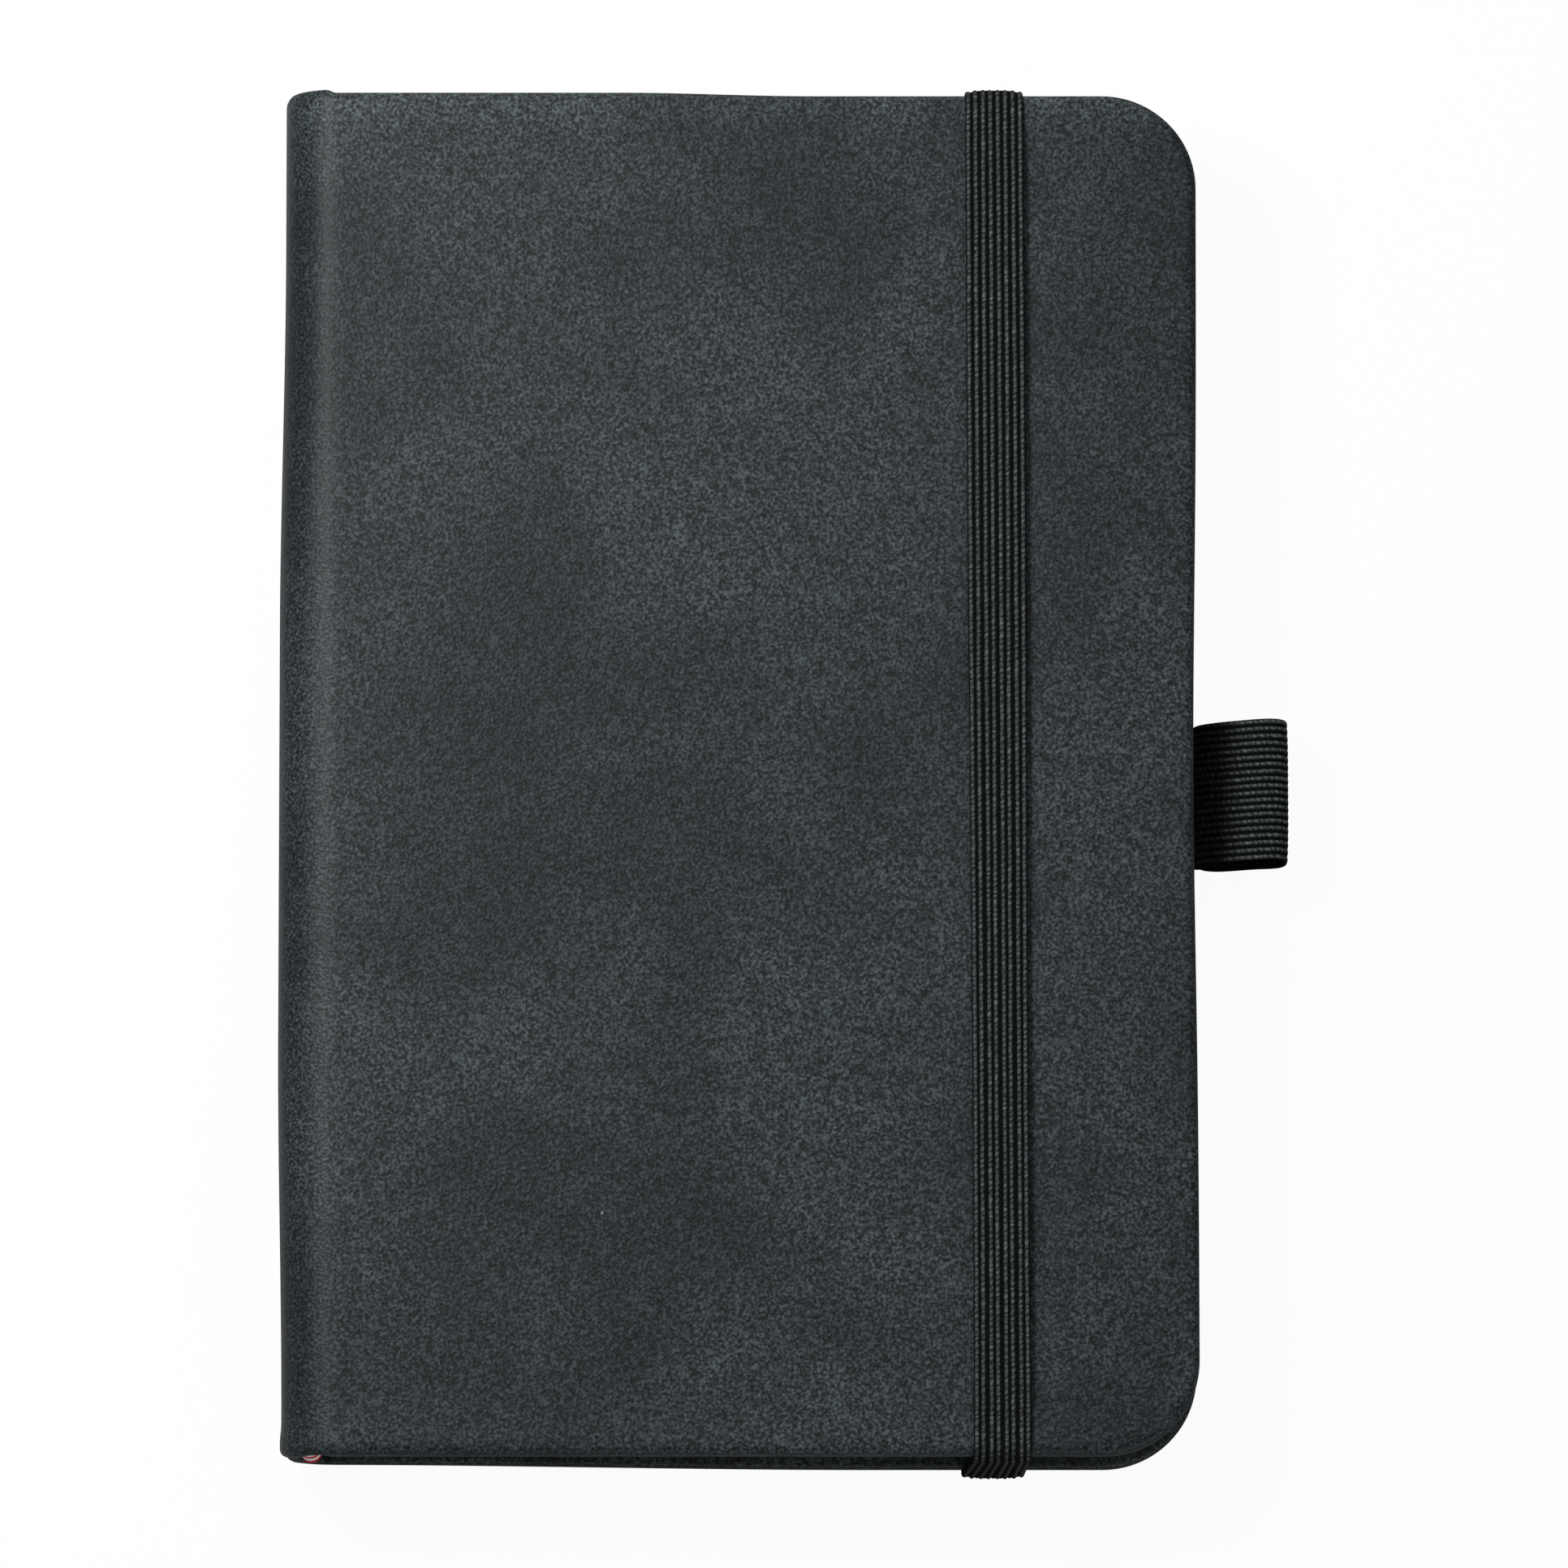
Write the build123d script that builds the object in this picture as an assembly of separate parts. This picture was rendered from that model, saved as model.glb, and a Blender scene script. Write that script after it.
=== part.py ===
from build123d import *

import os
from math import sqrt

# Pocket notebook, lying on its back cover. All sizes in millimetres.
# +X runs from the spine to the fore edge, +Y from the tail to the head, +Z from the back
# cover to the front cover. The origin is the middle of the back cover's outer face.

# ---- case: boards, leather and spine ----
COVER_WIDTH = 96.5  # spine's outer edge to fore edge
COVER_HEIGHT = 145.0  # tail to head
COVER_CORNER = 10.0  # radius of the two fore-edge corners
LEATHER = 0.9
BOARD = 1.9
TURN_IN = 13.0  # leather folded over the boards' inner faces
TURN_IN_LEATHER = 0.4  # the turned-in margin is pared thinner
EDGE_ROUND = 0.85  # leather rounds over the boards' outer edges
INNER_EDGE_ROUND = 0.5
JOINT = 5.5  # spine's outer edge to the boards
SPINE_BULGE = 1.6  # how far the rounded spine stands out past its shoulders
SPINE_SHOULDER = 3.4  # radius where the spine turns into the covers
SPINE_STIFF_END = 3.8  # the spine's stiff part starts this far inside the covers' outer faces
SPINE_CAP = 0.35  # the turned-in spine stands this far past the covers at the head
CAP_RUNOUT = 0.9  # width over which the cap falls back to the covers' edge
JOINT_NOTCH = 0.35  # the front joint's leather dips in this far at the tail
LINER = 0.5
SPINE_TURN_IN = 12.0

# ---- text block ----
SECTIONS = 12
SECTION = 0.8  # thickness of one folded section
SQUARE = 2.6  # how far the covers overhang the pages
ENDPAPER = 0.16
OPENING_GAP = 0.1  # air between pieces that turn apart
BLOCK_BACK = 2.3  # spine's outer edge to the folds of the middle sections
BLOCK_ROUND = 0.5  # how much the outer sections' folds step back from the middle ones
MULL = 0.2
GLUE = 0.03  # film of glue between the folds and the mull
BEAD = 1.0  # radius of the head and tail bands' bead
BEAD_TAPE = 6.0  # length of tape that glues each bead to the spine
BEAD_FOOT = 0.7  # thickness of the tape where it turns over the ends of the folds
BEAD_STAND = 0.55  # gap between the beads and the ends of the folds
BEAD_SET = 0.5  # the beads hang this far behind the block's shoulders
HINGE_SET = 0.45  # the covers' hinge lines lie this far behind the block's shoulders
PASTEDOWN_START = 1.2  # hinge line to the pastedown's free inner edge
PASTEDOWN_BORDER = 3.0  # leather left bare round the pastedown

# ---- elastic closure band ----
BAND_WIDTH = 6.4
BAND = 0.7
BAND_FROM_FORE_EDGE = 21.2  # to the middle of the band
BAND_SLANT = 0.35  # the run leans: it is this far off its middle line at head and tail
BAND_BACK_SET = 0.6  # the band's glued ends lie this far nearer the spine than its run
BAND_FIT = 0.05  # clearance round the band
SLIT_INSET = 9.5  # head or tail edge to the slit in the back cover
BAND_TUCK = 14.0  # length glued inside the back cover

# ---- elastic pen loop ----
LOOP_WIDTH = 15.2
LOOP_ELASTIC = 0.85
LOOP_BORE = 4.0  # inner radius
LOOP_CLEAR = 0.15  # the loop hangs this far clear of what the book lies on
LOOP_OFFSET = 1.25  # middle of the loop, towards the tail from mid-height
LOOP_TAB = 15.0  # length glued inside the back cover
LOOP_FIT = 0.05

# ---- derived places ----
X_SPINE = -COVER_WIDTH / 2
X_FORE = COVER_WIDTH / 2
X_BOARD = X_SPINE + JOINT
Y_EDGE = COVER_HEIGHT / 2
X_PAGE_FORE = X_FORE - SQUARE
Y_PAGE = Y_EDGE - SQUARE
PAGE_CORNER = COVER_CORNER - SQUARE
X_BLOCK = X_SPINE + BLOCK_BACK
X_SHOULDER = X_BLOCK + BLOCK_ROUND

COVER = LEATHER + BOARD
Z_BACK_PASTEDOWN = COVER
Z_BACK_FLYLEAF = Z_BACK_PASTEDOWN + ENDPAPER + OPENING_GAP
Z_SECTIONS = Z_BACK_FLYLEAF + ENDPAPER + OPENING_GAP
Z_SECTIONS_TOP = Z_SECTIONS + (SECTIONS - 1) * SECTION
Z_FIRST_SECTION = Z_SECTIONS_TOP + OPENING_GAP
Z_FRONT_FLYLEAF = Z_FIRST_SECTION + SECTION + OPENING_GAP
Z_FRONT_PASTEDOWN = Z_FRONT_FLYLEAF + ENDPAPER + OPENING_GAP
Z_FRONT_BOARD = Z_FRONT_PASTEDOWN + ENDPAPER
THICKNESS = Z_FRONT_BOARD + COVER
Z_MIDDLE = THICKNESS / 2

# hinge lines of the two covers, just behind the shoulders of the text block
HINGE_X = X_SHOULDER - HINGE_SET
FRONT_HINGE_Z = Z_FRONT_PASTEDOWN - OPENING_GAP / 2
BACK_HINGE_Z = Z_BACK_FLYLEAF - OPENING_GAP / 2

X_BAND = X_FORE - BAND_FROM_FORE_EDGE
X_BAND_BACK = X_BAND - BAND_BACK_SET
Z_BAND_LOW = BAND_FIT
Z_BAND_TOP = THICKNESS + BAND_FIT + BAND
Y_BAND = Y_EDGE + BAND_FIT + BAND  # outer face of the band's legs
Y_SLIT = Y_EDGE - SLIT_INSET

LOOP_RADIUS = LOOP_BORE + LOOP_ELASTIC
X_LOOP = X_FORE + LOOP_RADIUS
Y_LOOP = -LOOP_OFFSET
Z_LOOP = LOOP_CLEAR + LOOP_RADIUS


def block(x0, x1, y0, y1, z0, z1):
    """A box between two corners."""
    centre = ((x0 + x1) / 2, (y0 + y1) / 2, (z0 + z1) / 2)
    return Pos(*centre) * Box(x1 - x0, y1 - y0, z1 - z0)


def leaf_outline(x0, x1, half_height, corner):
    """A cover- or page-shaped outline: square at the spine, rounded at the fore edge."""
    outline = Pos((x0 + x1) / 2, 0) * Rectangle(x1 - x0, 2 * half_height)
    fore_corners = outline.vertices().group_by(Axis.X)[-1]
    return fillet(fore_corners, corner)


def leaf(x0, x1, half_height, corner, z, thickness):
    """A flat sheet or stack of sheets with a leaf's outline, its lower face at z."""
    return extrude(Pos(0, 0, z) * leaf_outline(x0, x1, half_height, corner), thickness)


def along_y(profile, y0, y1):
    """A flat profile, its X and Y taken as the book's X and Z, carried from y0 to y1."""
    return extrude(Pos(0, y1, 0) * (Plane.XZ * profile), y1 - y0)


# ---- boards ----
def board_blank():
    """The back cover's board before its rebate is pressed."""
    corner = COVER_CORNER - LEATHER
    return leaf(X_BOARD, X_FORE - LEATHER, Y_EDGE - LEATHER, corner, LEATHER, BOARD)


def turn_in_layer():
    """The thin layer under the board's inner face that the turned-in leather lies in."""
    return block(X_SPINE, X_FORE, -Y_EDGE, Y_EDGE, COVER - TURN_IN_LEATHER, COVER)


def turn_in_window():
    """The part of that layer that the turned-in leather leaves open."""
    x1, y1 = X_FORE - TURN_IN, Y_EDGE - TURN_IN
    return leaf(X_BOARD, x1, y1, TURN_IN_LEATHER, COVER - TURN_IN_LEATHER, TURN_IN_LEATHER)


def flat_board():
    """The back cover's board, lower face on the leather, with the pared turn-in's rebate."""
    return board_blank() - (turn_in_layer() - turn_in_window())


def rim(skin, z):
    """The edges at height z of the three sides that the leather is wrapped over."""
    edges = skin.edges().filter_by_position(Axis.Z, z, z)
    return edges.filter_by(lambda edge: edge.center().X > X_BOARD + LEATHER)


def flat_leather():
    """The leather over the back board: outer face, wrapped edges and turned-in margins."""
    skin = leaf(X_BOARD, X_FORE, Y_EDGE, COVER_CORNER, 0, COVER)
    skin = fillet(rim(skin, 0), EDGE_ROUND)
    skin = fillet(rim(skin, COVER), INNER_EDGE_ROUND)
    return skin - flat_board()


def pastedown():
    """The glued half of the back endpaper, over the joint and the board's inner face."""
    return leaf(
        HINGE_X + PASTEDOWN_START,
        X_FORE - PASTEDOWN_BORDER,
        Y_EDGE - PASTEDOWN_BORDER,
        COVER_CORNER - PASTEDOWN_BORDER,
        Z_BACK_PASTEDOWN,
        ENDPAPER,
    )


def front_twin(solid):
    """The same piece on the front cover: mirrored in the book's middle plane."""
    return mirror(solid, Plane.XY.offset(Z_MIDDLE))


# ---- spine and joints ----
def spine_outline(inset):
    """The rounded spine's section, running well past the joints, drawn inset inside."""
    right = X_BOARD + 2 * JOINT
    upper = (X_SPINE + SPINE_BULGE, THICKNESS)
    lower = (X_SPINE + SPINE_BULGE, 0)
    edge = Polyline(upper, (right, THICKNESS), (right, 0), lower)
    back = ThreePointArc(lower, (X_SPINE, Z_MIDDLE), upper)
    outline = make_face([edge, back])
    outline = fillet(outline.vertices().group_by(Axis.X)[0], SPINE_SHOULDER)
    if inset:
        outline = offset(outline, -inset)
    return outline


def spine_shell(outer, inner, half_length, z0, z1, x1):
    """Part of a shell that follows the spine between two insets."""
    outside = along_y(spine_outline(outer), -half_length, half_length)
    inside = along_y(spine_outline(inner), -half_length, half_length)
    return (outside - inside) & block(X_SPINE - 1, x1, -half_length, half_length, z0, z1)


def spine_leather():
    """The stiff, rounded part of the spine's leather with its turned-in ends."""
    z0, z1 = SPINE_STIFF_END, THICKNESS - SPINE_STIFF_END
    length = Y_EDGE + SPINE_CAP / 2
    reach = X_SPINE + JOINT
    leather = spine_shell(0, LEATHER, length, z0, z1, reach)
    cap = spine_shell(LEATHER, LEATHER + LINER, length, z0, z1, reach)
    fold = spine_shell(LEATHER + LINER, LEATHER + LINER + TURN_IN_LEATHER, length, z0, z1, reach)
    middle = block(
        X_SPINE, reach, -(length - SPINE_TURN_IN), length - SPINE_TURN_IN, 0, THICKNESS
    )
    inside = block(X_SPINE, reach, -(length - LEATHER), length - LEATHER, 0, THICKNESS)
    return Pos(0, SPINE_CAP / 2, 0) * (leather + (cap - inside) + (fold - middle))


def spine_liner():
    """The card strip that stiffens the spine, inside the leather's turned-in ends."""
    length = Y_EDGE + SPINE_CAP / 2 - LEATHER
    z0, z1 = SPINE_STIFF_END, THICKNESS - SPINE_STIFF_END
    liner = spine_shell(LEATHER, LEATHER + LINER, length, z0, z1, X_SPINE + JOINT)
    return Pos(0, SPINE_CAP / 2, 0) * liner


def joint_leather():
    """The bare leather that bends between the spine and the front board."""
    z0 = THICKNESS - SPINE_STIFF_END
    y_cap = Y_EDGE + SPINE_CAP
    strip = spine_shell(0, LEATHER, y_cap, z0, THICKNESS, X_BOARD)
    ends = Polyline(
        (X_SPINE - 1, -Y_EDGE), (X_SPINE - 1, y_cap), (X_BOARD - CAP_RUNOUT, y_cap),
        (X_BOARD, Y_EDGE), (X_BOARD, -Y_EDGE), close=True
    )
    return strip & extrude(make_face(ends), THICKNESS)


def tail_notch():
    """The shallow dip of the front joint's turned-in end at the tail."""
    x0, x1 = X_SPINE + SPINE_SHOULDER / 2, X_BOARD - LEATHER / 2
    width = x1 - x0
    radius = (width**2 / 4 + JOINT_NOTCH**2) / (2 * JOINT_NOTCH)
    centre_y = JOINT_NOTCH - Y_EDGE - radius
    return Pos((x0 + x1) / 2, centre_y, Z_MIDDLE) * Cylinder(radius, THICKNESS + 2)


# ---- text block ----
def fold_x(z):
    """Where the folds lie across the rounded back of the text block."""
    half = (Z_FIRST_SECTION + SECTION - Z_SECTIONS) / 2
    return X_BLOCK + BLOCK_ROUND * ((z - Z_MIDDLE) / half) ** 2


def section(z):
    """One sewn section: a stack of leaves with a rounded fold at the spine."""
    x0 = fold_x(z + SECTION / 2)
    stack = leaf(x0, X_PAGE_FORE, Y_PAGE, PAGE_CORNER, z, SECTION)
    fold = stack.edges().filter_by(Axis.Y).group_by(Axis.X)[0]
    return fillet(fold, SECTION * 0.45)


def flyleaf(z):
    """The free half of an endpaper."""
    return leaf(X_SHOULDER, X_PAGE_FORE, Y_PAGE, PAGE_CORNER, z, ENDPAPER)


def back_arc(z0, z1, inset):
    """The rounded back of the folds between two heights, inset outwards from the folds."""
    low = (fold_x(z0 + SECTION / 2) - inset, z0)
    mid = (X_BLOCK - inset, (z0 + z1) / 2)
    high = (fold_x(z1 - SECTION / 2) - inset, z1)
    return ThreePointArc(low, mid, high)


def back_strip(y0, y1):
    """A strip of mull or tape glued over the folds, following the rounded back."""
    inner = back_arc(Z_SECTIONS, Z_SECTIONS_TOP, GLUE)
    outer = back_arc(Z_SECTIONS, Z_SECTIONS_TOP, GLUE + MULL)
    ends = [Line(inner @ 0, outer @ 0), Line(inner @ 1, outer @ 1)]
    return along_y(make_face([inner, outer, *ends]), y0, y1)


def mull():
    """The gauze over the folds, between the tapes of the head and tail bands."""
    return back_strip(-(Y_PAGE - BEAD_TAPE), Y_PAGE - BEAD_TAPE)


def end_band(side):
    """The striped bead over the end of the folds, with the tape that glues it to them."""
    x = X_SHOULDER + BEAD - BEAD_SET
    height = Z_SECTIONS_TOP - Z_SECTIONS
    middle = (Z_SECTIONS + Z_SECTIONS_TOP) / 2
    bead = Pos(x, side * (Y_PAGE + BEAD_STAND + BEAD), middle) * Cylinder(BEAD, height)
    bead = fillet(bead.edges().filter_by(GeomType.CIRCLE), BEAD * 0.4)
    tape = back_strip(*sorted((side * (Y_PAGE - BEAD_TAPE), side * (Y_PAGE + BEAD_FOOT))))
    edge = back_arc(Z_SECTIONS, Z_SECTIONS_TOP, GLUE)
    sides = Polyline(edge @ 0, (x, Z_SECTIONS), (x, Z_SECTIONS_TOP), edge @ 1)
    foot_y = sorted((side * Y_PAGE, side * (Y_PAGE + BEAD_FOOT)))
    foot = along_y(make_face([edge, sides]), *foot_y)
    return bead + tape + foot


# ---- elastic closure band ----
def band_loop():
    """The run of elastic round the closed book, a wide ring to cut its pieces from."""
    centre = (Z_BAND_LOW + Z_BAND_TOP) / 2
    height = Z_BAND_TOP - Z_BAND_LOW
    outer = RectangleRounded(2 * Y_BAND, height, BAND + BAND_FIT)
    inner = RectangleRounded(2 * (Y_BAND - BAND), height - 2 * BAND, BAND_FIT)
    ring = Pos(X_BAND - BAND_WIDTH, 0, 0) * (Plane.YZ * (Pos(0, centre) * (outer - inner)))
    return extrude(ring, 2 * BAND_WIDTH)


def band_front_run():
    """The straight run over the front cover."""
    y = Y_EDGE - LEATHER
    lean = BAND_SLANT * y / Y_EDGE
    left, right = X_BAND - BAND_WIDTH / 2, X_BAND + BAND_WIDTH / 2
    sides = Polyline((left + lean, -y), (right + lean, -y), (right - lean, y), (left - lean, y), close=True)
    return band_loop() & Pos(0, 0, Z_MIDDLE) * extrude(make_face(sides), THICKNESS)


def band_leg(side):
    """The short run over the head or tail edge, with both turns."""
    top = X_BAND - side * BAND_SLANT
    half = BAND_WIDTH / 2
    z_low, z_high = Z_BAND_LOW + BAND, Z_BAND_TOP - BAND
    sides = Polyline(
        (top - half, Z_BAND_TOP + 1), (top + half, Z_BAND_TOP + 1), (top + half, z_high),
        (X_BAND_BACK + half, z_low), (X_BAND_BACK + half, -1), (X_BAND_BACK - half, -1),
        (X_BAND_BACK - half, z_low), (top - half, z_high), close=True
    )
    y0, y1 = sorted((side * (Y_EDGE - LEATHER), side * (Y_BAND + 1)))
    return band_loop() & along_y(make_face(sides), y0, y1)


def band_tuck(side):
    """The end of the elastic: along the back cover, through the slit and glued inside."""
    x0, x1 = X_BAND_BACK - BAND_WIDTH / 2, X_BAND_BACK + BAND_WIDTH / 2
    y_edge, y_slit = side * (Y_EDGE - LEATHER), side * Y_SLIT
    y_in, y_end = side * (Y_SLIT - BAND), side * (Y_SLIT - BAND_TUCK)
    under = block(x0, x1, *sorted((y_edge, y_in)), Z_BAND_LOW, Z_BAND_LOW + BAND)
    through = block(x0, x1, *sorted((y_slit, y_in)), Z_BAND_LOW, COVER)
    inside = block(x0, x1, *sorted((y_slit, y_end)), COVER - BAND, COVER)
    return under + through + inside


def band_cuts():
    """The pressed channels, slits and inner recesses that the elastic's ends lie in."""
    x0 = X_BAND_BACK - BAND_WIDTH / 2 - BAND_FIT
    x1 = X_BAND_BACK + BAND_WIDTH / 2 + BAND_FIT
    cuts = []
    for side in (-1, 1):
        slit_out, slit_in = side * (Y_SLIT + BAND_FIT), side * (Y_SLIT - BAND - BAND_FIT)
        end = side * (Y_SLIT - BAND_TUCK - BAND_FIT)
        channel_top = Z_BAND_LOW + BAND + BAND_FIT / 2
        cuts.append(block(x0, x1, *sorted((slit_in, side * (Y_EDGE + 1))), -1, channel_top))
        cuts.append(block(x0, x1, *sorted((slit_out, slit_in)), -1, COVER + 1))
        cuts.append(block(x0, x1, *sorted((slit_out, end)), COVER - BAND - BAND_FIT, COVER + 1))
    return cuts


# ---- pen loop ----
def pen_loop():
    """The elastic pen loop: a ring past the fore edge and a tab glued inside the back cover."""
    ring = Circle(LOOP_RADIUS) - Circle(LOOP_BORE)
    ring = along_y(Pos(X_LOOP, Z_LOOP) * ring, 0, LOOP_WIDTH)
    drop = Z_LOOP - COVER + LOOP_ELASTIC  # the tab's lower face under the loop's axis
    tab_end = X_LOOP - sqrt(LOOP_RADIUS**2 - drop**2) + LOOP_ELASTIC / 2
    tab = block(X_FORE - LOOP_TAB, tab_end, 0, LOOP_WIDTH, COVER - LOOP_ELASTIC, COVER)
    return Pos(0, Y_LOOP - LOOP_WIDTH / 2, 0) * (ring + tab)


def loop_recess():
    """The pressed recess that the pen loop's tab lies in."""
    y0 = Y_LOOP - LOOP_WIDTH / 2 - LOOP_FIT
    y1 = Y_LOOP + LOOP_WIDTH / 2 + LOOP_FIT
    x0 = X_FORE - LOOP_TAB - LOOP_FIT
    return block(x0, X_FORE + 1, y0, y1, COVER - LOOP_ELASTIC - LOOP_FIT, COVER + 1)


def make_nodes():
    """Every piece of the notebook by name."""
    nodes = {}
    back_cuts = [*band_cuts(), loop_recess()]
    nodes["back_board"] = flat_board() - back_cuts
    nodes["back_leather"] = flat_leather() - back_cuts
    nodes["back_pastedown"] = pastedown()
    nodes["pen_loop"] = pen_loop()
    nodes["band_tuck_tail"] = band_tuck(-1)
    nodes["band_tuck_head"] = band_tuck(1)

    nodes["front_board"] = front_twin(flat_board())
    nodes["front_leather"] = front_twin(flat_leather())
    nodes["front_pastedown"] = front_twin(pastedown())

    nodes["spine_leather"] = spine_leather()
    nodes["spine_liner"] = spine_liner()
    nodes["front_joint_leather"] = joint_leather() - tail_notch()
    nodes["back_joint_leather"] = front_twin(joint_leather())

    nodes["back_flyleaf"] = flyleaf(Z_BACK_FLYLEAF)
    for number in range(2, SECTIONS + 1):
        nodes[f"section_{number:02d}"] = section(Z_SECTIONS + (SECTIONS - number) * SECTION)
    nodes["section_01"] = section(Z_FIRST_SECTION)
    nodes["front_flyleaf"] = flyleaf(Z_FRONT_FLYLEAF)
    nodes["mull"] = mull()
    nodes["tail_band"] = end_band(-1)
    nodes["head_band"] = end_band(1)

    nodes["band_front_run"] = band_front_run()
    nodes["band_leg_tail"] = band_leg(-1)
    nodes["band_leg_head"] = band_leg(1)
    return nodes


os.makedirs("parts", exist_ok=True)
for name, solid in make_nodes().items():
    export_step(solid, f"parts/{name}.step")
print(f"thickness {THICKNESS:.2f}, hinge line x {HINGE_X:.3f}")
print(f"front hinge z {FRONT_HINGE_Z:.3f}, back hinge z {BACK_HINGE_Z:.3f}")
print(f"band x {X_BAND:.3f}, loop x {X_LOOP:.3f} y {Y_LOOP:.3f} z {Z_LOOP:.3f}")
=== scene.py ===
from math import asin, atan2, ceil, copysign, cos, exp, pi, radians, sin, sqrt, tan

import bpy
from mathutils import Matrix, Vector, noise


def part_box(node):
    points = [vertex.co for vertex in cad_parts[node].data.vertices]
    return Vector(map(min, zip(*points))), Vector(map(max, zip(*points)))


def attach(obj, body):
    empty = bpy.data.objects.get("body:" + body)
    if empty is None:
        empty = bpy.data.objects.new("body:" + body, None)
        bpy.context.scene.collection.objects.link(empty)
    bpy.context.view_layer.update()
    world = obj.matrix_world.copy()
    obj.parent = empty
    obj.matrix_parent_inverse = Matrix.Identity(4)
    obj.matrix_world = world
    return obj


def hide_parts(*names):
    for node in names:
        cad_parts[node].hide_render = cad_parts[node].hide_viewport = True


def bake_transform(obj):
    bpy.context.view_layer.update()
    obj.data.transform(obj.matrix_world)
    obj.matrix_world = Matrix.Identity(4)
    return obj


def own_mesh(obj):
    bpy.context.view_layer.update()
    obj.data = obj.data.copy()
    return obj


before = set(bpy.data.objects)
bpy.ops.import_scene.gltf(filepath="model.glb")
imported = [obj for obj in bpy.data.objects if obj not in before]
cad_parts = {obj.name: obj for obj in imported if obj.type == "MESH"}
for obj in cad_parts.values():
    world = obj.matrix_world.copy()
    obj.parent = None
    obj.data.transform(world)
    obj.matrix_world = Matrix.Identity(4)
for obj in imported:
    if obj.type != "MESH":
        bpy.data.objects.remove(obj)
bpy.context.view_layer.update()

# Pocket notebook. Sizes in this script are millimetres, and MM turns them into metres.
# +X runs from the spine to the fore edge, +Y from the tail to the head, +Z from the back
# cover to the front cover.
MM = 0.001


def millimetres(node):
    """Lowest and highest corner of a CAD node."""
    low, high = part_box(node)
    return low / MM, high / MM


BACK_LOW, BACK_HIGH = millimetres("back_leather")
SPINE_LOW, SPINE_HIGH = millimetres("spine_leather")
TUCK_LOW, TUCK_HIGH = millimetres("band_tuck_head")
LOOP_LOW, LOOP_HIGH = millimetres("pen_loop")
RUN_LOW, RUN_HIGH = millimetres("band_front_run")
X_SPINE = SPINE_LOW.x
X_FORE = BACK_HIGH.x
Y_EDGE = BACK_HIGH.y
COVER = BACK_HIGH.z
THICKNESS = millimetres("front_leather")[1].z
MIDDLE = THICKNESS / 2
SPINE_CAP = SPINE_HIGH.y - Y_EDGE

# ---- leather of the case ----
CORNER = 10.0
LEATHER = 0.9
TURN_IN_LEATHER = 0.4
EDGE_ROUND = 0.85  # leather rounds over the boards' outer edges
INNER_ROUND = 0.5
TURNED_IN = 8.5  # how far the turned-in leather is modelled, well under the endpaper
JOINT_DEPTH = 1.35  # leather and its turned-in margin where there is no board
SPINE_DEPTH = 1.8  # the same round the spine's card liner
SHOULDER = 4.0  # radius of the turn from spine to cover
BULGE = 1.6  # how far the spine stands out past its shoulders
RIDGE = 5.3  # spine's outer edge to the boards' edge, felt as a low ridge
RIDGE_RAMP = (RIDGE - 1.1, RIDGE + 0.1)  # the case thickens to the boards over this
RIDGE_SOFT = 0.8  # how far past the boards' edge the leather is level
RIDGE_ROUND = 16.0  # radius between ridge and cover
RIDGE_DROP = 0.28  # how far the joint's leather sinks from that ridge
JOINT_DIP = 0.05  # how far the joint's end is pulled in at the tail
HEAD_SKEW = 0.38  # how far the case's ends lie off square at the spine, head and tail
TAIL_SKEW = 0.55
SPINE_BOW = 0.5  # how far the spine bows out
BOW_MIDDLE = -6  # the bow's middle, a little towards the tail
TAIL_FLARE = 0.14  # how far the spine flares at its tail
TAIL_ROUND = 1.0  # radius of the spine's corner at the tail
FORE_SPREAD = 0.16  # the fore edge stands this far out at its ends
FORE_WAIST = 0.45  # and is pulled in this much at mid-height, where the loop hangs
WAIST_REACH = 28
CORNER_STEPS = 12
ROW_GAP = 1.7
COLUMN_GAP = 2.4
TINY = 1e-6
CORNER_X = X_FORE - CORNER  # where the rounded corners start
CORNER_Y = Y_EDGE - CORNER
EDGE_Y = Y_EDGE - EDGE_ROUND
PLEATS = 5  # gathered folds of the turned-in leather at a corner
PLEAT_DEPTH = 0.14

# ---- elastic ----
RIB_PITCH = 0.795
BAND_RIBS = 8
LOOP_PITCH = 0.76
LOOP_RIBS = 20
LOOP_LEAN = 0.1  # the loop's side by the book leans in under the front cover
LOOP_SKEW = 0.5  # the loop's outer end sits this much nearer the head
LOOP_LAP = 0.35  # radians by which the ring runs past its own start
LOOP_STEPS = 64
LOOP_RECESS = 0.9  # the back cover is this much thinner under the loop's tab
RIB_ROUND = 0.41  # a rib's radius as a share of the pitch
VALLEY_ROUND = 0.4  # the same for the threads between ribs
VALLEY_DEPTH = 0.06
BAND_SLANT = 0.35  # how far the band's ends lie off its middle line
BAND_SET = 0.3  # the ribs lie this far towards the fore edge in their band
BAND_LIFT = 0.5  # the slack run over the cover is this much thicker than at its pulled turns
FOOT_ASIDE = 0.25  # the flared foot spreads towards the spine
FOOT_SPREAD = 1.1
FOOT_SET = 0.6  # the band comes round the edge this far off the middle of its slits
SLIT = 0.85
SLIT_OUT = Y_EDGE - 9.45  # the slit's outer side, from the middle of the cover
SLIT_IN = SLIT_OUT - SLIT
CHANNEL_DEPTH = 0.775  # the back cover is pressed in for the band's ends
CHANNEL_SOFT = 0.15
CHANNEL_LEFT, CHANNEL_RIGHT = TUCK_LOW.x - 0.05, TUCK_HIGH.x + 0.05
CHANNEL_WIDE = CHANNEL_RIGHT + FOOT_SET  # the channel's side towards the fore edge


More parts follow.
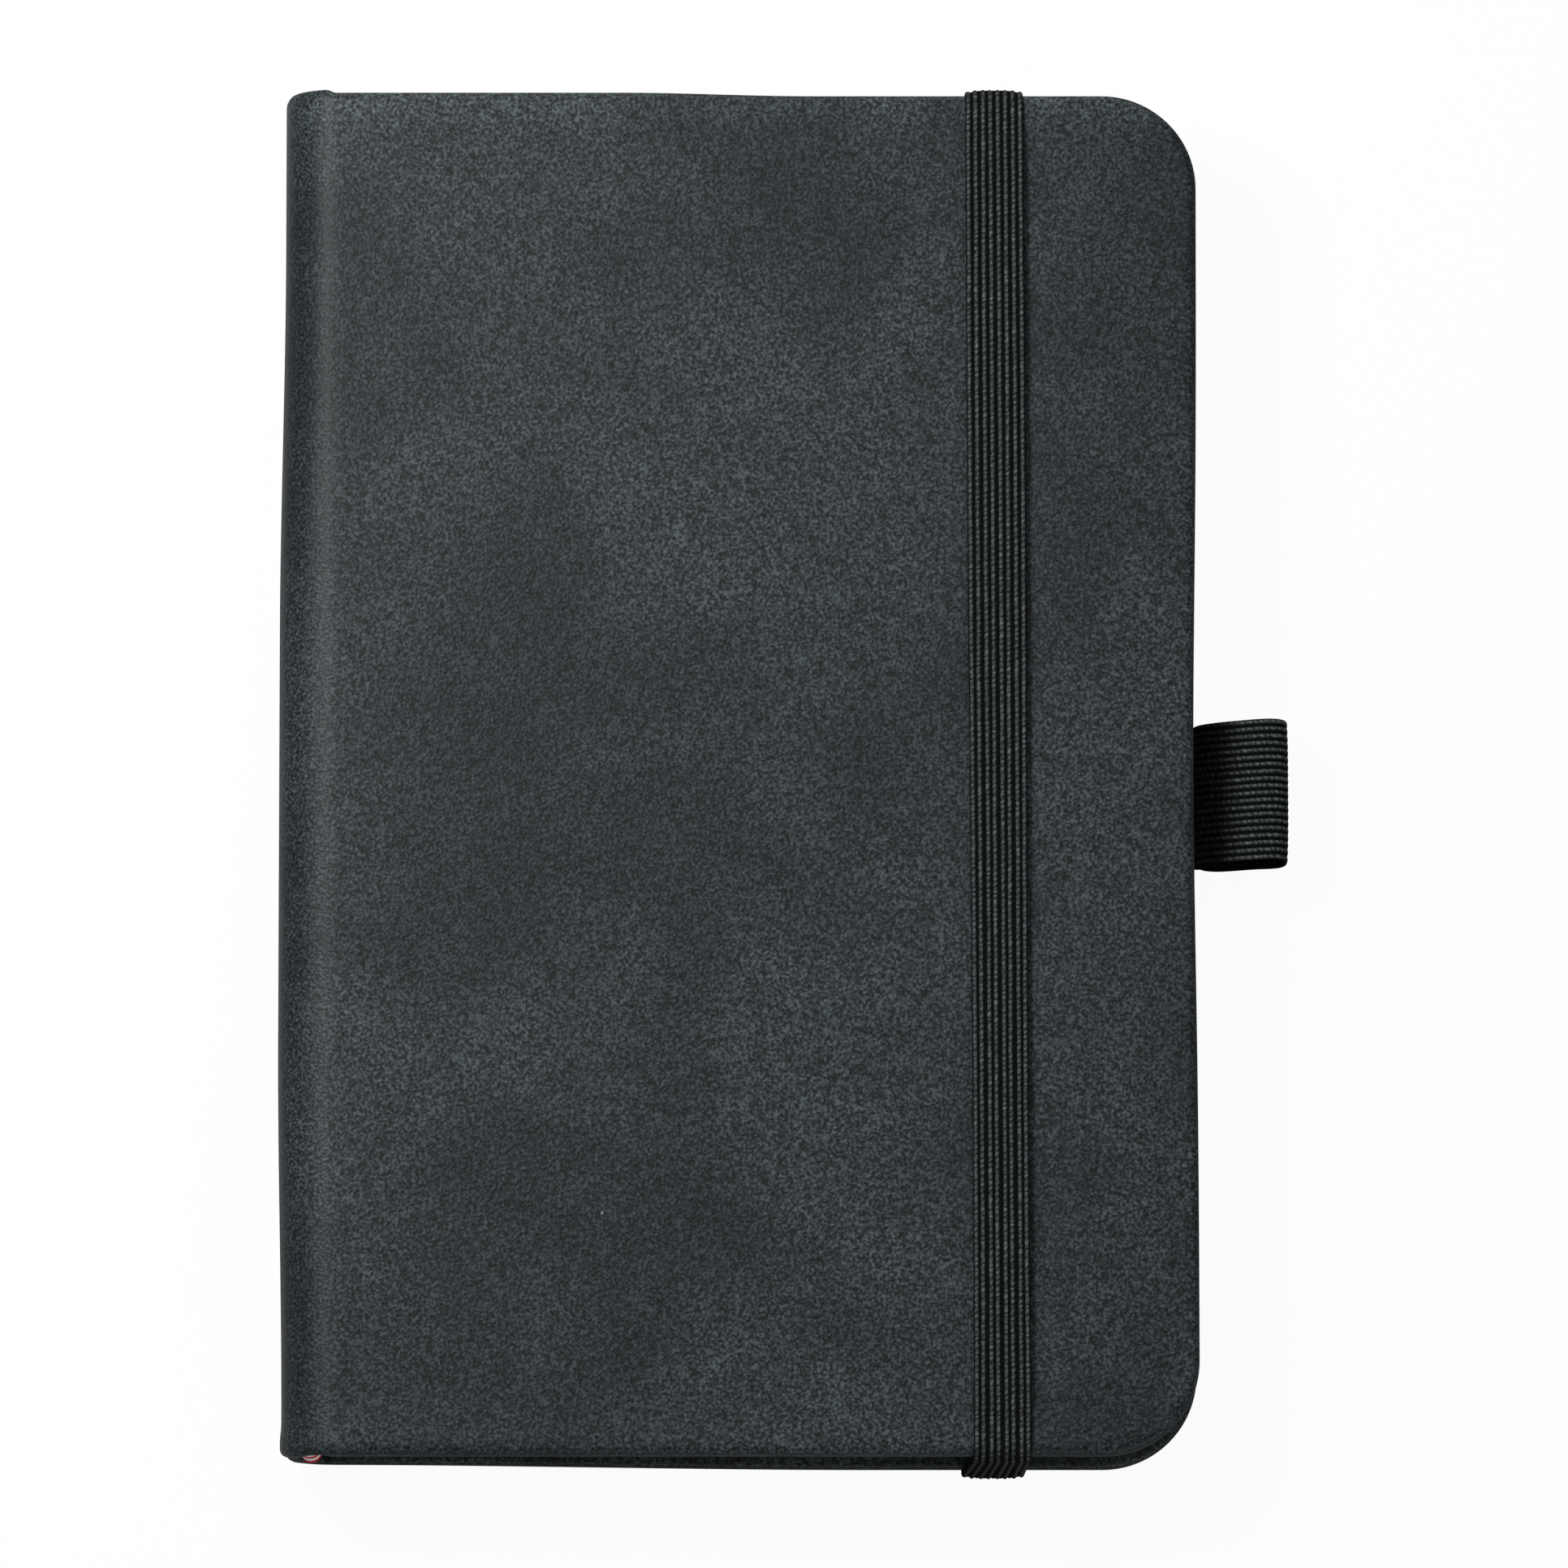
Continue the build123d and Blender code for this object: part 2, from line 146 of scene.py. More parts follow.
# ---- meshes ----
def in_scene(name, data):
    """A new object, put in the scene."""
    made = bpy.data.objects.new(name, data)
    bpy.context.scene.collection.objects.link(made)
    return made


def mesh_object(name, points, faces, material):
    """A mesh piece from points in millimetres."""
    mesh = bpy.data.meshes.new(name)
    mesh.from_pydata([Vector(p) * MM for p in points], [], faces)
    mesh.validate()
    mesh.materials.append(material)
    mesh.shade_smooth()
    mesh.set_sharp_from_angle(angle=radians(38))
    return in_scene(name, mesh)


def quarter(steps):
    """Sine and cosine at even steps over a quarter turn."""
    angles = [pi / 2 * k / steps for k in range(steps + 1)]
    return [(sin(angle), cos(angle)) for angle in angles]


def smoothstep(low, high, value):
    """0 below low, 1 above high, an even S between."""
    t = min(max((value - low) / (high - low), 0), 1)
    return t * t * (3 - 2 * t)


def rounded_path(corners, radii, step):
    """Points along straight runs whose inner corners are rounded by arcs."""
    corners = [Vector(c) for c in corners]
    path = [corners[0]]
    for before, corner, after, radius in zip(corners, corners[1:], corners[2:], radii):
        into, out = (before - corner).normalized(), (after - corner).normalized()
        half = into.angle(out) / 2
        centre = corner + (into + out).normalized() * (radius / sin(half))
        start, end = (corner + way * (radius / tan(half)) - centre for way in (into, out))
        steps = max(2, ceil(radius * (pi - 2 * half) / step))
        path += [centre + start.slerp(end, k / steps) * radius for k in range(steps + 1)]
    return path + [corners[-1]]


def divided(path, gap):
    """The same path with more points, none over gap apart."""
    points = [path[0]]
    for start, end in zip(path, path[1:]):
        count = ceil((end - start).length / gap)
        points += [start.lerp(end, k / count) for k in range(1, count + 1)]
    return points


def spaced(values, gap):
    """The given values, in order, with more between them so that none are over gap apart."""
    values = sorted(values)
    filled = [values[0]]
    for low, high in zip(values, values[1:]):
        count = max(1, ceil((high - low) / gap - 1e-6))
        filled += [low + (high - low) * k / count for k in range(1, count + 1)]
    return filled


# ---- case leather ----
def spine_rows():
    """Where the case's outer face runs from the middle of the spine to the boards' edge.

    Each row is (x, depth below the cover's outer face)."""
    level = RIDGE + RIDGE_SOFT
    corners = [(BULGE, MIDDLE), (BULGE, RIDGE_DROP), (level, 0), (level + 1.2, 0)]
    rows = rounded_path(corners, (SHOULDER, RIDGE_ROUND), 0.3)
    down = spaced([rows[0].y, rows[1].y], 0.9)[::-1]
    rows = [Vector((BULGE, y)) for y in down[:-1]] + rows[1:]
    return [(X_SPINE + s - BULGE * (1 - ((MIDDLE - d) / MIDDLE) ** 2), d) for s, d in rows]


def inward(rows, i):
    """Unit direction into the book at a row, in the plane of x and depth."""
    if i == 0:
        return Vector((1, 0))
    x0, d0 = rows[i - 1]
    x1, d1 = rows[min(i + 1, len(rows) - 1)]
    return Vector((d0 - d1, x1 - x0)).normalized()


def end_offset(x, side, back):
    """How far the case stands past the covers' edge at x: a cap and a skew at the head
    (side 1); at the tail (side -1) a worn corner, with a dip in front and a skew behind."""
    s = x - X_SPINE
    if side > 0:
        cap = SPINE_CAP * (1 - smoothstep(*RIDGE_RAMP, s))
        return cap + HEAD_SKEW * (1 - smoothstep(36, 56, s))
    short = min(max(TAIL_ROUND - s, 0), 0.9 * TAIL_ROUND)
    worn = TAIL_ROUND - sqrt(TAIL_ROUND**2 - short**2)
    if back:
        return -worn - TAIL_SKEW * (1 - smoothstep(4, 62, s))
    return -worn - JOINT_DIP * smoothstep(1.6, 2.6, s) * (1 - smoothstep(4.0, 5.0, s))


def fore_bow(x, y):
    """How far the fore edge stands out or is drawn in along its length."""
    share = smoothstep(X_FORE - 30, CORNER_X, x)
    return share * (FORE_SPREAD - FORE_WAIST * exp(-((y / WAIST_REACH) ** 2)))


def spine_swell(x, y):
    """How far the spine bows out along its length, with a small flare at the tail."""
    share = 1 - smoothstep(0.6, RIDGE, x - X_SPINE)
    bow = SPINE_BOW * (1 - smoothstep(22, 62, abs(y - BOW_MIDDLE)))
    flare = TAIL_FLARE * smoothstep(Y_EDGE - 4, Y_EDGE - 2, -y)
    return share * (bow + flare)


def case_depth(x):
    """Thickness of board and leather, or of the folded leather alone, at x."""
    s = x - X_SPINE
    thin = SPINE_DEPTH + (JOINT_DEPTH - SPINE_DEPTH) * smoothstep(1.2, 2.6, s)
    return thin + (COVER - thin) * smoothstep(*RIDGE_RAMP, s)


def pressed_depth(x, y, back):
    """How deep the back cover's face is pressed in for the band's ends."""
    if not back or abs(y) < SLIT_IN - 0.01:
        return 0
    left = smoothstep(CHANNEL_LEFT - CHANNEL_SOFT, CHANNEL_LEFT, x)
    right = smoothstep(CHANNEL_WIDE, CHANNEL_WIDE + CHANNEL_SOFT, x)
    return CHANNEL_DEPTH * min(left, 1 - right)


def past_corner(x, y):
    """How far a point is past the start of the fore corners' rounding."""
    return x - CORNER_X, abs(y) - CORNER_Y


def edge_direction(x, y):
    """Outward direction of the cover's outline at a border point."""
    past_x, past_y = past_corner(x, y)
    return Vector((max(past_x, 0), copysign(max(past_y, 0), y))).normalized()


def corner_pleat(x, y, across):
    """Depth of the small gathered folds of the turned-in leather at the fore corners."""
    past_x, past_y = past_corner(x, y)
    if past_x <= 0 or past_y <= 0:
        return 0
    angle = atan2(past_y, past_x) / (pi / 2)
    fold = 0.5 - 0.5 * cos(2 * pi * PLEATS * angle)
    return PLEAT_DEPTH * fold * smoothstep(EDGE_ROUND - 0.2, EDGE_ROUND - 1.2, across)


def wrap_section(x, y, back):
    """The leather's section where it wraps the case's edge, as (outward, depth) pairs."""
    depth = case_depth(x)
    lining = TURN_IN_LEATHER
    if back and x > X_FORE - 2 and LOOP_LOW.y - 0.06 < y < LOOP_HIGH.y + 0.06:
        depth -= LOOP_RECESS
        lining = 0.05
    outer, inner = EDGE_ROUND, min(INNER_ROUND, depth / 3)
    if depth < outer + inner + 0.1:
        outer = depth - inner - 0.1
    under = EDGE_ROUND - inner
    section = [(EDGE_ROUND * s, outer * (1 - c)) for s, c in quarter(5)[1:]]
    section += [(under + inner * c, depth - inner + inner * s) for s, c in quarter(4)]
    for share in (0.1, 0.22, 0.36, 0.6, 1.0):
        section.append((under - (TURNED_IN - inner) * share, depth))
    return section + [(EDGE_ROUND - TURNED_IN, depth - lining), (0, depth - lining)]


def case_grid(back):
    """Rows across the case and columns along it, where the leather's skin has its points."""
    rows = spine_rows()
    lines_x = [rows[-1][0], CORNER_X]
    lines_y = [-EDGE_Y, -CORNER_Y, 0, CORNER_Y, EDGE_Y]
    if back:
        lines_x += [CHANNEL_LEFT - CHANNEL_SOFT, CHANNEL_LEFT, CHANNEL_RIGHT]
        lines_x += [CHANNEL_WIDE, CHANNEL_WIDE + CHANNEL_SOFT]
        lines_y += [side * y for side in (-1, 1) for y in (SLIT_OUT + 0.12, SLIT_OUT, SLIT_IN)]
        lines_y += [LOOP_LOW.y - 0.1, LOOP_HIGH.y + 0.1]
    gap = (CORNER - EDGE_ROUND) / CORNER_STEPS
    corner_x = spaced([CORNER_X, X_FORE - EDGE_ROUND], gap)
    rows += [(x, 0.0) for x in spaced(lines_x, ROW_GAP)[1:] + corner_x[1:]]
    columns = [y for y in spaced(lines_y, COLUMN_GAP) if abs(y) <= CORNER_Y + TINY]
    for side in (-1, 1):
        outer = [y for y in lines_y if y * side >= CORNER_Y - TINY]
        columns += [y for y in spaced(outer, gap) if abs(y) > CORNER_Y + TINY]
    return rows, sorted(columns)


def case_leather(name, back, material):
    """Half of the case's leather in one skin: spine, joint, cover, wrapped edges, turn-ins."""
    rows, columns = case_grid(back)
    last, width = len(rows) - 1, len(columns)

    def surface(i, j):
        """Outer-face point of row i and column j: (x, y, depth)."""
        x, depth = rows[i]
        y = columns[j]
        past_x, past_y = past_corner(x, y)
        if past_x > 0 and past_y > 0:
            reach = CORNER - EDGE_ROUND
            a, b = past_x / reach, past_y / reach
            x = CORNER_X + reach * a * sqrt(1 - b * b / 2)
            y = copysign(CORNER_Y + reach * b * sqrt(1 - a * a / 2), y)
        side = copysign(1, y)
        y += end_offset(x, side, back) * smoothstep(Y_EDGE - 5, EDGE_Y, abs(columns[j])) * side
        x += fore_bow(x, y) - spine_swell(x, y)
        swell = 0.02 * noise.noise(Vector((x * 0.06, y * 0.06, 3.0)))
        return Vector((x, y, depth + swell + pressed_depth(x, y, back)))

    def placed(x, y, depth):
        """A point of the case in the book's frame."""
        return (x, y, depth if back else THICKNESS - depth)

    spots = [(i, surface(i, j)) for i in range(last + 1) for j in range(width)]
    points = [placed(*spot) for _, spot in spots]
    inner_start = len(points)
    for i, (x, y, _) in spots:
        into = inward(rows, i)
        points.append(placed(x + into.x * LEATHER, y, rows[i][1] + into.y * LEATHER))

    def outer(i, j):
        """Index of a point on the outer face."""
        return i * width + j

    def inner(i, j):
        """Index of the point under it."""
        return inner_start + i * width + j

    def holed(i, j):
        """True for the cells where the band's end goes through the back cover."""
        x = (rows[i][0] + rows[i + 1][0]) / 2
        y = abs(columns[j] + columns[j + 1]) / 2
        return back and CHANNEL_LEFT < x < CHANNEL_RIGHT and SLIT_IN < y < SLIT_OUT

    faces = []

    def add(*corners):
        """A face, turned over on the back half, which is the front half mirrored."""
        faces.append(corners[::-1] if back else corners)

    cells = [(i, j) for i in range(last) for j in range(width - 1)]
    holes = {cell for cell in cells if holed(*cell)}
    for i, j in cells:
        if (i, j) in holes:
            continue
        a, b, c, d = (i, j), (i + 1, j), (i + 1, j + 1), (i, j + 1)
        add(outer(*a), outer(*b), outer(*c), outer(*d))
        add(inner(*a), inner(*d), inner(*c), inner(*b))
        walls = (((i, j - 1), b, a), ((i, j + 1), d, c), ((i - 1, j), a, d), ((i + 1, j), c, b))
        for beside, p, q in walls:
            if beside in holes:
                add(outer(*q), outer(*p), inner(*p), inner(*q))

    # the wrapped edge: rings that start at the outer face's border and end at the inner face's
    border = [(i, 0) for i in range(last)]
    border += [(last, j) for j in range(width)]
    border += [(i, width - 1) for i in range(last - 1, -1, -1)]
    rings = []
    for i, j in border:
        x, y, _ = surface(i, j)
        outward = edge_direction(x - fore_bow(x, y), y)
        into = inward(rows, i)
        pressed = pressed_depth(x, y, back)
        ring = [outer(i, j)]
        for across, down in wrap_section(x, y, back):
            pleat = corner_pleat(x, y, across) if down > LEATHER + 0.1 else 0
            if pressed > 0.3:
                down = max(down, pressed)
            down -= pleat
            ring.append(len(points))
            wrapped_x = x + outward.x * across + into.x * down
            points.append(placed(wrapped_x, y + outward.y * across, rows[i][1] + into.y * down))
        rings.append(ring + [inner(i, j)])
    for ring, following in zip(rings, rings[1:]):
        for k in range(len(ring) - 1):
            add(ring[k], ring[k + 1], following[k + 1], following[k])
    for j in range(width - 1):
        add(outer(0, j), outer(0, j + 1), inner(0, j + 1), inner(0, j))
    add(*rings[0][::-1])
    add(*rings[-1])
    return mesh_object(name, points, faces, material)


# ---- nodes ----
class Value:
    """A node's output. Arithmetic on it places one math node for each step."""

    def __init__(self, socket):
        self.socket = socket
        self.tree = socket.id_data

    def step(self, operation, other=0.0):
        """One arithmetic step, with another value or a number where it takes one."""
        return outlet(self.tree, "ShaderNodeMath", 0, {0: self, 1: other}, operation=operation)

    def __add__(self, other):
        return self.step("ADD", other)

    def __sub__(self, other):
        return self.step("SUBTRACT", other)

    def __mul__(self, other):
        return self.step("MULTIPLY", other)

    def __truediv__(self, other):
        return self.step("DIVIDE", other)


def place(tree, kind, inputs=None, **settings):
    """A node with its settings and inputs; an input is a Value or a plain default."""
    node = tree.nodes.new(kind)
    for key, value in settings.items():
        setattr(node, key, value)
    for key, value in (inputs or {}).items():
        if isinstance(value, Value):
            tree.links.new(value.socket, node.inputs[key])
        else:
            node.inputs[key].default_value = value
    return node


def outlet(tree, kind, output, inputs=None, **settings):
    """One output of a new node."""
    return Value(place(tree, kind, inputs, **settings).outputs[output])


def mixed(factor, first, second, blend="MIX"):
    """Two colours mixed by a factor."""
    values = (factor, first, second)
    tree = next(value.tree for value in values if isinstance(value, Value))
    inputs = dict(zip((0, 6, 7), values))
    return outlet(tree, "ShaderNodeMix", 2, inputs, data_type="RGBA", blend_type=blend)


def ranged(value, low, high, to_low=0.0, to_high=1.0, smooth=True):
    """A value carried from one range to another and held inside it."""
    inputs = {"Value": value, "From Min": low, "From Max": high, "To Min": to_low, "To Max": to_high}
    kind = "SMOOTHSTEP" if smooth else "LINEAR"
    return outlet(value.tree, "ShaderNodeMapRange", "Result", inputs, interpolation_type=kind)


def noise_field(vector, scale, detail=2.0, roughness=0.5, distortion=0.0):
    """Cloudy noise between 0 and 1."""
    inputs = {"Vector": vector, "Scale": scale, "Detail": detail}
    inputs |= {"Roughness": roughness, "Distortion": distortion}
    return outlet(vector.tree, "ShaderNodeTexNoise", "Fac", inputs)


def mapped(vector, **change):
    """Coordinates turned or stretched."""
    return outlet(vector.tree, "ShaderNodeMapping", 0, {"Vector": vector} | change)


def axis(vector, name):
    """One coordinate of a vector."""
    return outlet(vector.tree, "ShaderNodeSeparateXYZ", name, {"Vector": vector})


def combined(x, y):
    """A vector from two values."""
    return outlet(x.tree, "ShaderNodeCombineXYZ", 0, {"X": x, "Y": y})


def on_object(tree):
    """Where a point is on its object, in metres."""
    return outlet(tree, "ShaderNodeTexCoord", "Object")


def attribute(tree, name):
    """A value that the mesh carries."""
    return outlet(tree, "ShaderNodeAttribute", "Fac", attribute_name=name)


# ---- materials ----
RULING = 6.5 * MM
RULED_HALF = 62 * MM  # the lines stop this far from the middle of the page
YARN_PITCH = 0.62 * MM  # one turn of the yarn wound round an elastic's rib
GAUZE_PITCH = 0.9 * MM
TAPE_PITCH = 0.4 * MM
THREAD_TURNS = 6  # turns of red, then as many of white
GRAIN = 3400  # pebbles of the leather, as a noise scale per metre
FINE_GRAIN = 7000
LEATHER_DARK, LEATHER_PALE = (0.0086, 0.0124, 0.0142, 1), (0.0230, 0.0296, 0.0320, 1)
# yarn colours: the grey one is the ribs' tops, partly wear and partly painted highlight
YARN_DARK, YARN_WORN_AND_LIT = (0.0026, 0.0032, 0.0034, 1), (0.112, 0.121, 0.124, 1)


def blank_material(name):
    """An empty node material and its tree."""
    material = bpy.data.materials.new(name)
    material.use_nodes = True
    material.node_tree.nodes.clear()
    return material, material.node_tree


def finished(material, colour, roughness, height, strength, distance, **levels):
    """The material with its surface shader, bump and output."""
    tree = material.node_tree
    bump = {"Height": height, "Strength": strength, "Distance": distance * MM}
    inputs = {"Base Color": colour, "Roughness": roughness}
    inputs["Normal"] = outlet(tree, "ShaderNodeBump", "Normal", bump)
    shader = outlet(tree, "ShaderNodeBsdfPrincipled", "BSDF", inputs | levels)
    place(tree, "ShaderNodeOutputMaterial", {"Surface": shader})
    return material


def leather_material():
    """Soft-touch charcoal leather: cloudy tone, fine pebbled grain, a few light specks, and a painted
    highlight along the head edge.
    """
    material, tree = blank_material("soft touch leather")
    where = on_object(tree)
    tone = ranged(noise_field(where, 40, 1.5, 0.5, 0.6), 0.36, 0.64) * 0.6
    slanted_way = mapped(where, Rotation=(0, 0, radians(28)))
    patches = noise_field(where, 110, 1.0, 0.5, 0.4)
    streaks = noise_field(mapped(slanted_way, Scale=(26, 100, 60)), 1.0, 1.0, 0.5, 0.5)
    for layer in (patches, streaks):
        tone = tone + ranged(layer, 0.3, 0.7) * 0.2
    colour = mixed(tone, LEATHER_DARK, LEATHER_PALE)
    grain = noise_field(where, GRAIN, 0.0)
    root = ranged(grain, 0.2, 0.8, 0.2, 1.69, smooth=False)
    # painted highlight: the leather is painted up to half again lighter within a few millimetres of
    # the head edge, where the light falls from the head side
    painted_light_share = ranged(axis(where, "Y"), (Y_EDGE - 4.5) * MM, (Y_EDGE - 0.8) * MM, 1.0, 1.5)
    colour = mixed(1.0, colour, root * root * painted_light_share, "MULTIPLY")
    cells = place(tree, "ShaderNodeTexVoronoi", {"Vector": where, "Scale": 210.0})
    near = ranged(Value(cells.outputs["Distance"]), 0.018, 0.04, 1.0, 0.0)
    cell_tone = {"Color": Value(cells.outputs["Color"])}
    chosen = ranged(outlet(tree, "ShaderNodeSeparateColor", 0, cell_tone), 0.90, 0.92)
    colour = mixed(near * chosen, colour, (0.20, 0.21, 0.21, 1))
    height = grain + noise_field(where, FINE_GRAIN, 1.0, 0.6) * 0.15
    levels = {"Specular IOR Level": 0.24, "Sheen Weight": 0.03, "Sheen Roughness": 0.45}
    return finished(material, colour, 0.5, height, 1.0, 0.042, **levels)


def elastic_material():
    """Covered elastic: black yarn wound round each rib, with tops painted greyer, partly as wear and
    partly as painted highlight.
    """
    material, tree = blank_material("covered elastic")
    names = ("along", "around", "rib", "crest", "wear_and_painted_light", "valley")
    along, around, rib, crest, wear_and_painted_light, valley = (attribute(tree, name) for name in names)
    waver = noise_field(combined(along * 700.0, rib), 1.0, 2.0)
    turns = along * (1 / YARN_PITCH) + (rib * 12.9).step("SINE") * 3.0 + waver * 2.2
    wave = ((turns - around) * (2 * pi)).step("SINE") * 0.5 + 0.5
    fuzz = noise_field(on_object(tree), 4200, 2.0, 0.6)
    glint = noise_field(combined(along * 1100.0, rib * 5.3), 1.0, 1.0)
    # worn is wear together with painted light: the wear share carries the pen loop's painted shade
    # and highlight, and the glints below are painted highlights
    worn = (wave * 0.6 + 0.35) * wear_and_painted_light * ranged(fuzz, 0.3, 0.7, 0.3, 1.3)
    worn = worn * ranged(glint, 0.55, 0.72, 1.0, 1.9)
    # painted light: rib tops that face out are painted greyer and their flanks stay dark, partly as
    # wear and partly as painted highlight and shade
    top = ranged(crest, 0.42, 1.0, smooth=False)
    colour = mixed(worn * (top * top), YARN_DARK, YARN_WORN_AND_LIT)
    colour = mixed(valley, colour, (0.0036, 0.0042, 0.0042, 1))
    height = wave + fuzz * 0.5
    return finished(material, colour, 0.7, height, 0.8, 0.08, **{"Specular IOR Level": 0.02})


def paper_material(name, shade, ruled):
    """Ivory paper with faint fibres; ruled paper has thin grey lines across the page."""
    material, tree = blank_material(name)
    where = on_object(tree)
    fibres = noise_field(where, 900, 4.0, 0.6)
    colour = mixed(fibres, tuple(0.93 * c for c in shade[:3]) + (1,), shade)
    if ruled:
        y = axis(where, "Y")
        beat = ((y + 1.0) / RULING).step("FRACT")
        off_line = (beat - 0.5).step("ABSOLUTE")
        inside = y.step("ABSOLUTE").step("LESS_THAN", RULED_HALF)
        line = ranged(off_line, 0.012, 0.022, 1.0, 0.0) * inside
        colour = mixed(line * 0.55, colour, (0.30, 0.33, 0.36, 1))
    return finished(material, colour, 0.85, fibres, 0.25, 0.04, **{"Specular IOR Level": 0.2})


def page_edge_material():
    """Trimmed edges of the leaves: ivory with thin shadows between them."""
    material, tree = blank_material("trimmed page edges")
    streaks = noise_field(mapped(on_object(tree), Scale=(18, 18, 8200)), 1.0, 3.0, 0.65)
    colour = mixed(ranged(streaks, 0.34, 0.6), (0.62, 0.57, 0.46, 1), (0.92, 0.88, 0.76, 1))
    return finished(material, colour, 0.9, streaks, 0.5, 0.05)


def board_material():
    """Grey bookbinder's card with flecks."""
    material, tree = blank_material("binder card")
    flecks = noise_field(on_object(tree), 1400, 4.0, 0.7)
    colour = mixed(ranged(flecks, 0.35, 0.65), (0.20, 0.18, 0.15, 1), (0.32, 0.29, 0.25, 1))
    return finished(material, colour, 0.9, flecks, 0.4, 0.1)


def woven(vector, name, pitch):
    """A wave along one axis, one for each thread of a weave."""
    return (axis(vector, name) * (2 * pi / pitch)).step("SINE")


def gauze_material():
    """Open woven mull, stiff with glue."""
    material, tree = blank_material("glued gauze")
    where = on_object(tree)
    threads = [ranged(woven(where, name, GAUZE_PITCH), -0.2, 0.8) for name in ("Y", "Z")]
    weave = threads[0].step("MAXIMUM", threads[1])
    colour = mixed(weave, (0.34, 0.29, 0.20, 1), (0.72, 0.68, 0.58, 1))
    return finished(material, colour, 0.8, weave, 0.8, 0.15)


def striped_material():
    """Red and white thread, in turn."""
    material, tree = blank_material("striped thread")
    turn = attribute(tree, "turn")
    red = ((turn + 0.5) / (2.0 * THREAD_TURNS)).step("FRACT").step("LESS_THAN", 0.5)
    fuzz = noise_field(on_object(tree), 5200, 2.0, 0.6)
    white = mixed(fuzz, (0.74, 0.70, 0.66, 1), (0.90, 0.89, 0.87, 1))
    crimson = mixed(fuzz, (0.42, 0.002, 0.004, 1), (0.62, 0.006, 0.010, 1))
    return finished(material, mixed(red, white, crimson), 0.6, fuzz, 0.5, 0.05)


def tape_material():
    """White cotton tape, woven fine."""
    material, tree = blank_material("cotton tape")
    ribs = woven(on_object(tree), "Z", TAPE_PITCH)
    colour = mixed(ranged(ribs, -1.0, 1.0), (0.55, 0.52, 0.46, 1), (0.80, 0.78, 0.73, 1))
    return finished(material, colour, 0.8, ribs, 0.4, 0.05)


# ---- geometry nodes ----
def geometry_tree(name, result, sockets):
    """A geometry tree and the values of its inputs, which are named by kind. Every one of
    them is set when a piece is grown."""
    tree = bpy.data.node_groups.new(name, "GeometryNodeTree")
    for kind, names in sockets.items():
        for key in names:
            tree.interface.new_socket(key, in_out="INPUT", socket_type="NodeSocket" + kind)
    tree.interface.new_socket(name=result, in_out="OUTPUT", socket_type="NodeSocketGeometry")
    given = {socket.name: Value(socket) for socket in place(tree, "NodeGroupInput").outputs}
    return tree, given


def ended(geometry, material, result):
    """The end of a geometry tree: real, smooth geometry in its material."""
    tree = geometry.tree
    real = outlet(tree, "GeometryNodeRealizeInstances", 0, {"Geometry": geometry})
    smooth = outlet(tree, "GeometryNodeSetShadeSmooth", 0, {"Geometry": real})
    painted = {"Geometry": smooth, "Material": material}
    place(tree, "NodeGroupOutput", {result: outlet(tree, "GeometryNodeSetMaterial", 0, painted)})


def vectors(operation, first, second, output=0):
    """One step of vector arithmetic."""
    key = "Scale" if operation == "SCALE" else 1
    inputs = {0: first, key: second}
    return outlet(first.tree, "ShaderNodeVectorMath", output, inputs, operation=operation)


def named_value(tree, name, kind="FLOAT"):
    """A stored value, read back by name."""
    kept = {"Name": name}
    return outlet(tree, "GeometryNodeInputNamedAttribute", "Attribute", kept, data_type=kind)


def stored(geometry, name, value, kind="FLOAT"):
    """Geometry with a value stored on its points."""
    inputs = {"Geometry": geometry, "Name": name, "Value": value}
    node = "GeometryNodeStoreNamedAttribute"
    return outlet(geometry.tree, node, 0, inputs, data_type=kind, domain="POINT")


def circle(tree, count, radius):
    """A round curve of count points."""
    inputs = {"Resolution": count, "Radius": radius}
    return outlet(tree, "GeometryNodeCurvePrimitiveCircle", "Curve", inputs)


def threads_along(given, path, count, radius, sink, gaps):
    """Round threads side by side along a path, lower towards the elastic's edges."""
    tree = path.tree
    amount = {"Geometry": path, "Amount": count}
    copies = place(tree, "GeometryNodeDuplicateElements", amount, domain="SPLINE")
    numbered = stored(Value(copies.outputs[0]), "rib", Value(copies.outputs["Duplicate Index"]))
    rib = named_value(tree, "rib")
    middle = gaps / 2.0
    steps = rib - middle
    odd = rib.step("MODULO", 2.0) - 0.5
    lane = steps * given["Pitch"] * named_value(tree, "spread")
    lane = lane - odd * named_value(tree, "pairing")
    along = named_value(tree, "along") * 160.0
    drift = noise_field(combined(along, rib * 7.3), 1.0, 2.0) - 0.5
    lane = lane + drift * along.step("MINIMUM", 1.0) * given["Waver"]
    tangent = outlet(tree, "GeometryNodeInputTangent", 0)
    inward_way = vectors("CROSS_PRODUCT", tangent, given["Across"])
    outermost = steps / middle
    outermost = outermost * outermost
    outermost = outermost * outermost
    fall = outermost * given["Crown"] * named_value(tree, "crown")
    lowered = vectors("SCALE", inward_way, fall + sink)
    offset = vectors("ADD", vectors("SCALE", given["Across"], lane), lowered)
    facing = stored(numbered, "inside", inward_way, "FLOAT_VECTOR")
    moved = outlet(tree, "GeometryNodeSetPosition", 0, {"Geometry": facing, "Offset": offset})
    lap = outlet(tree, "GeometryNodeSplineParameter", "Factor")
    profile = stored(circle(tree, 10, radius), "around", lap)
    swept = {"Curve": moved, "Profile Curve": profile, "Fill Caps": True}
    tubes = outlet(tree, "GeometryNodeCurveToMesh", 0, swept)
    normal = outlet(tree, "GeometryNodeInputNormal", 0)
    ways = (named_value(tree, "inside", "FLOAT_VECTOR"), given["Across"])
    up, aside = (vectors("DOT_PRODUCT", normal, way, "Value") for way in ways)
    turned_out = up / (up * up + aside * aside).step("SQRT")
    return stored(tubes, "crest", turned_out * -1.0)


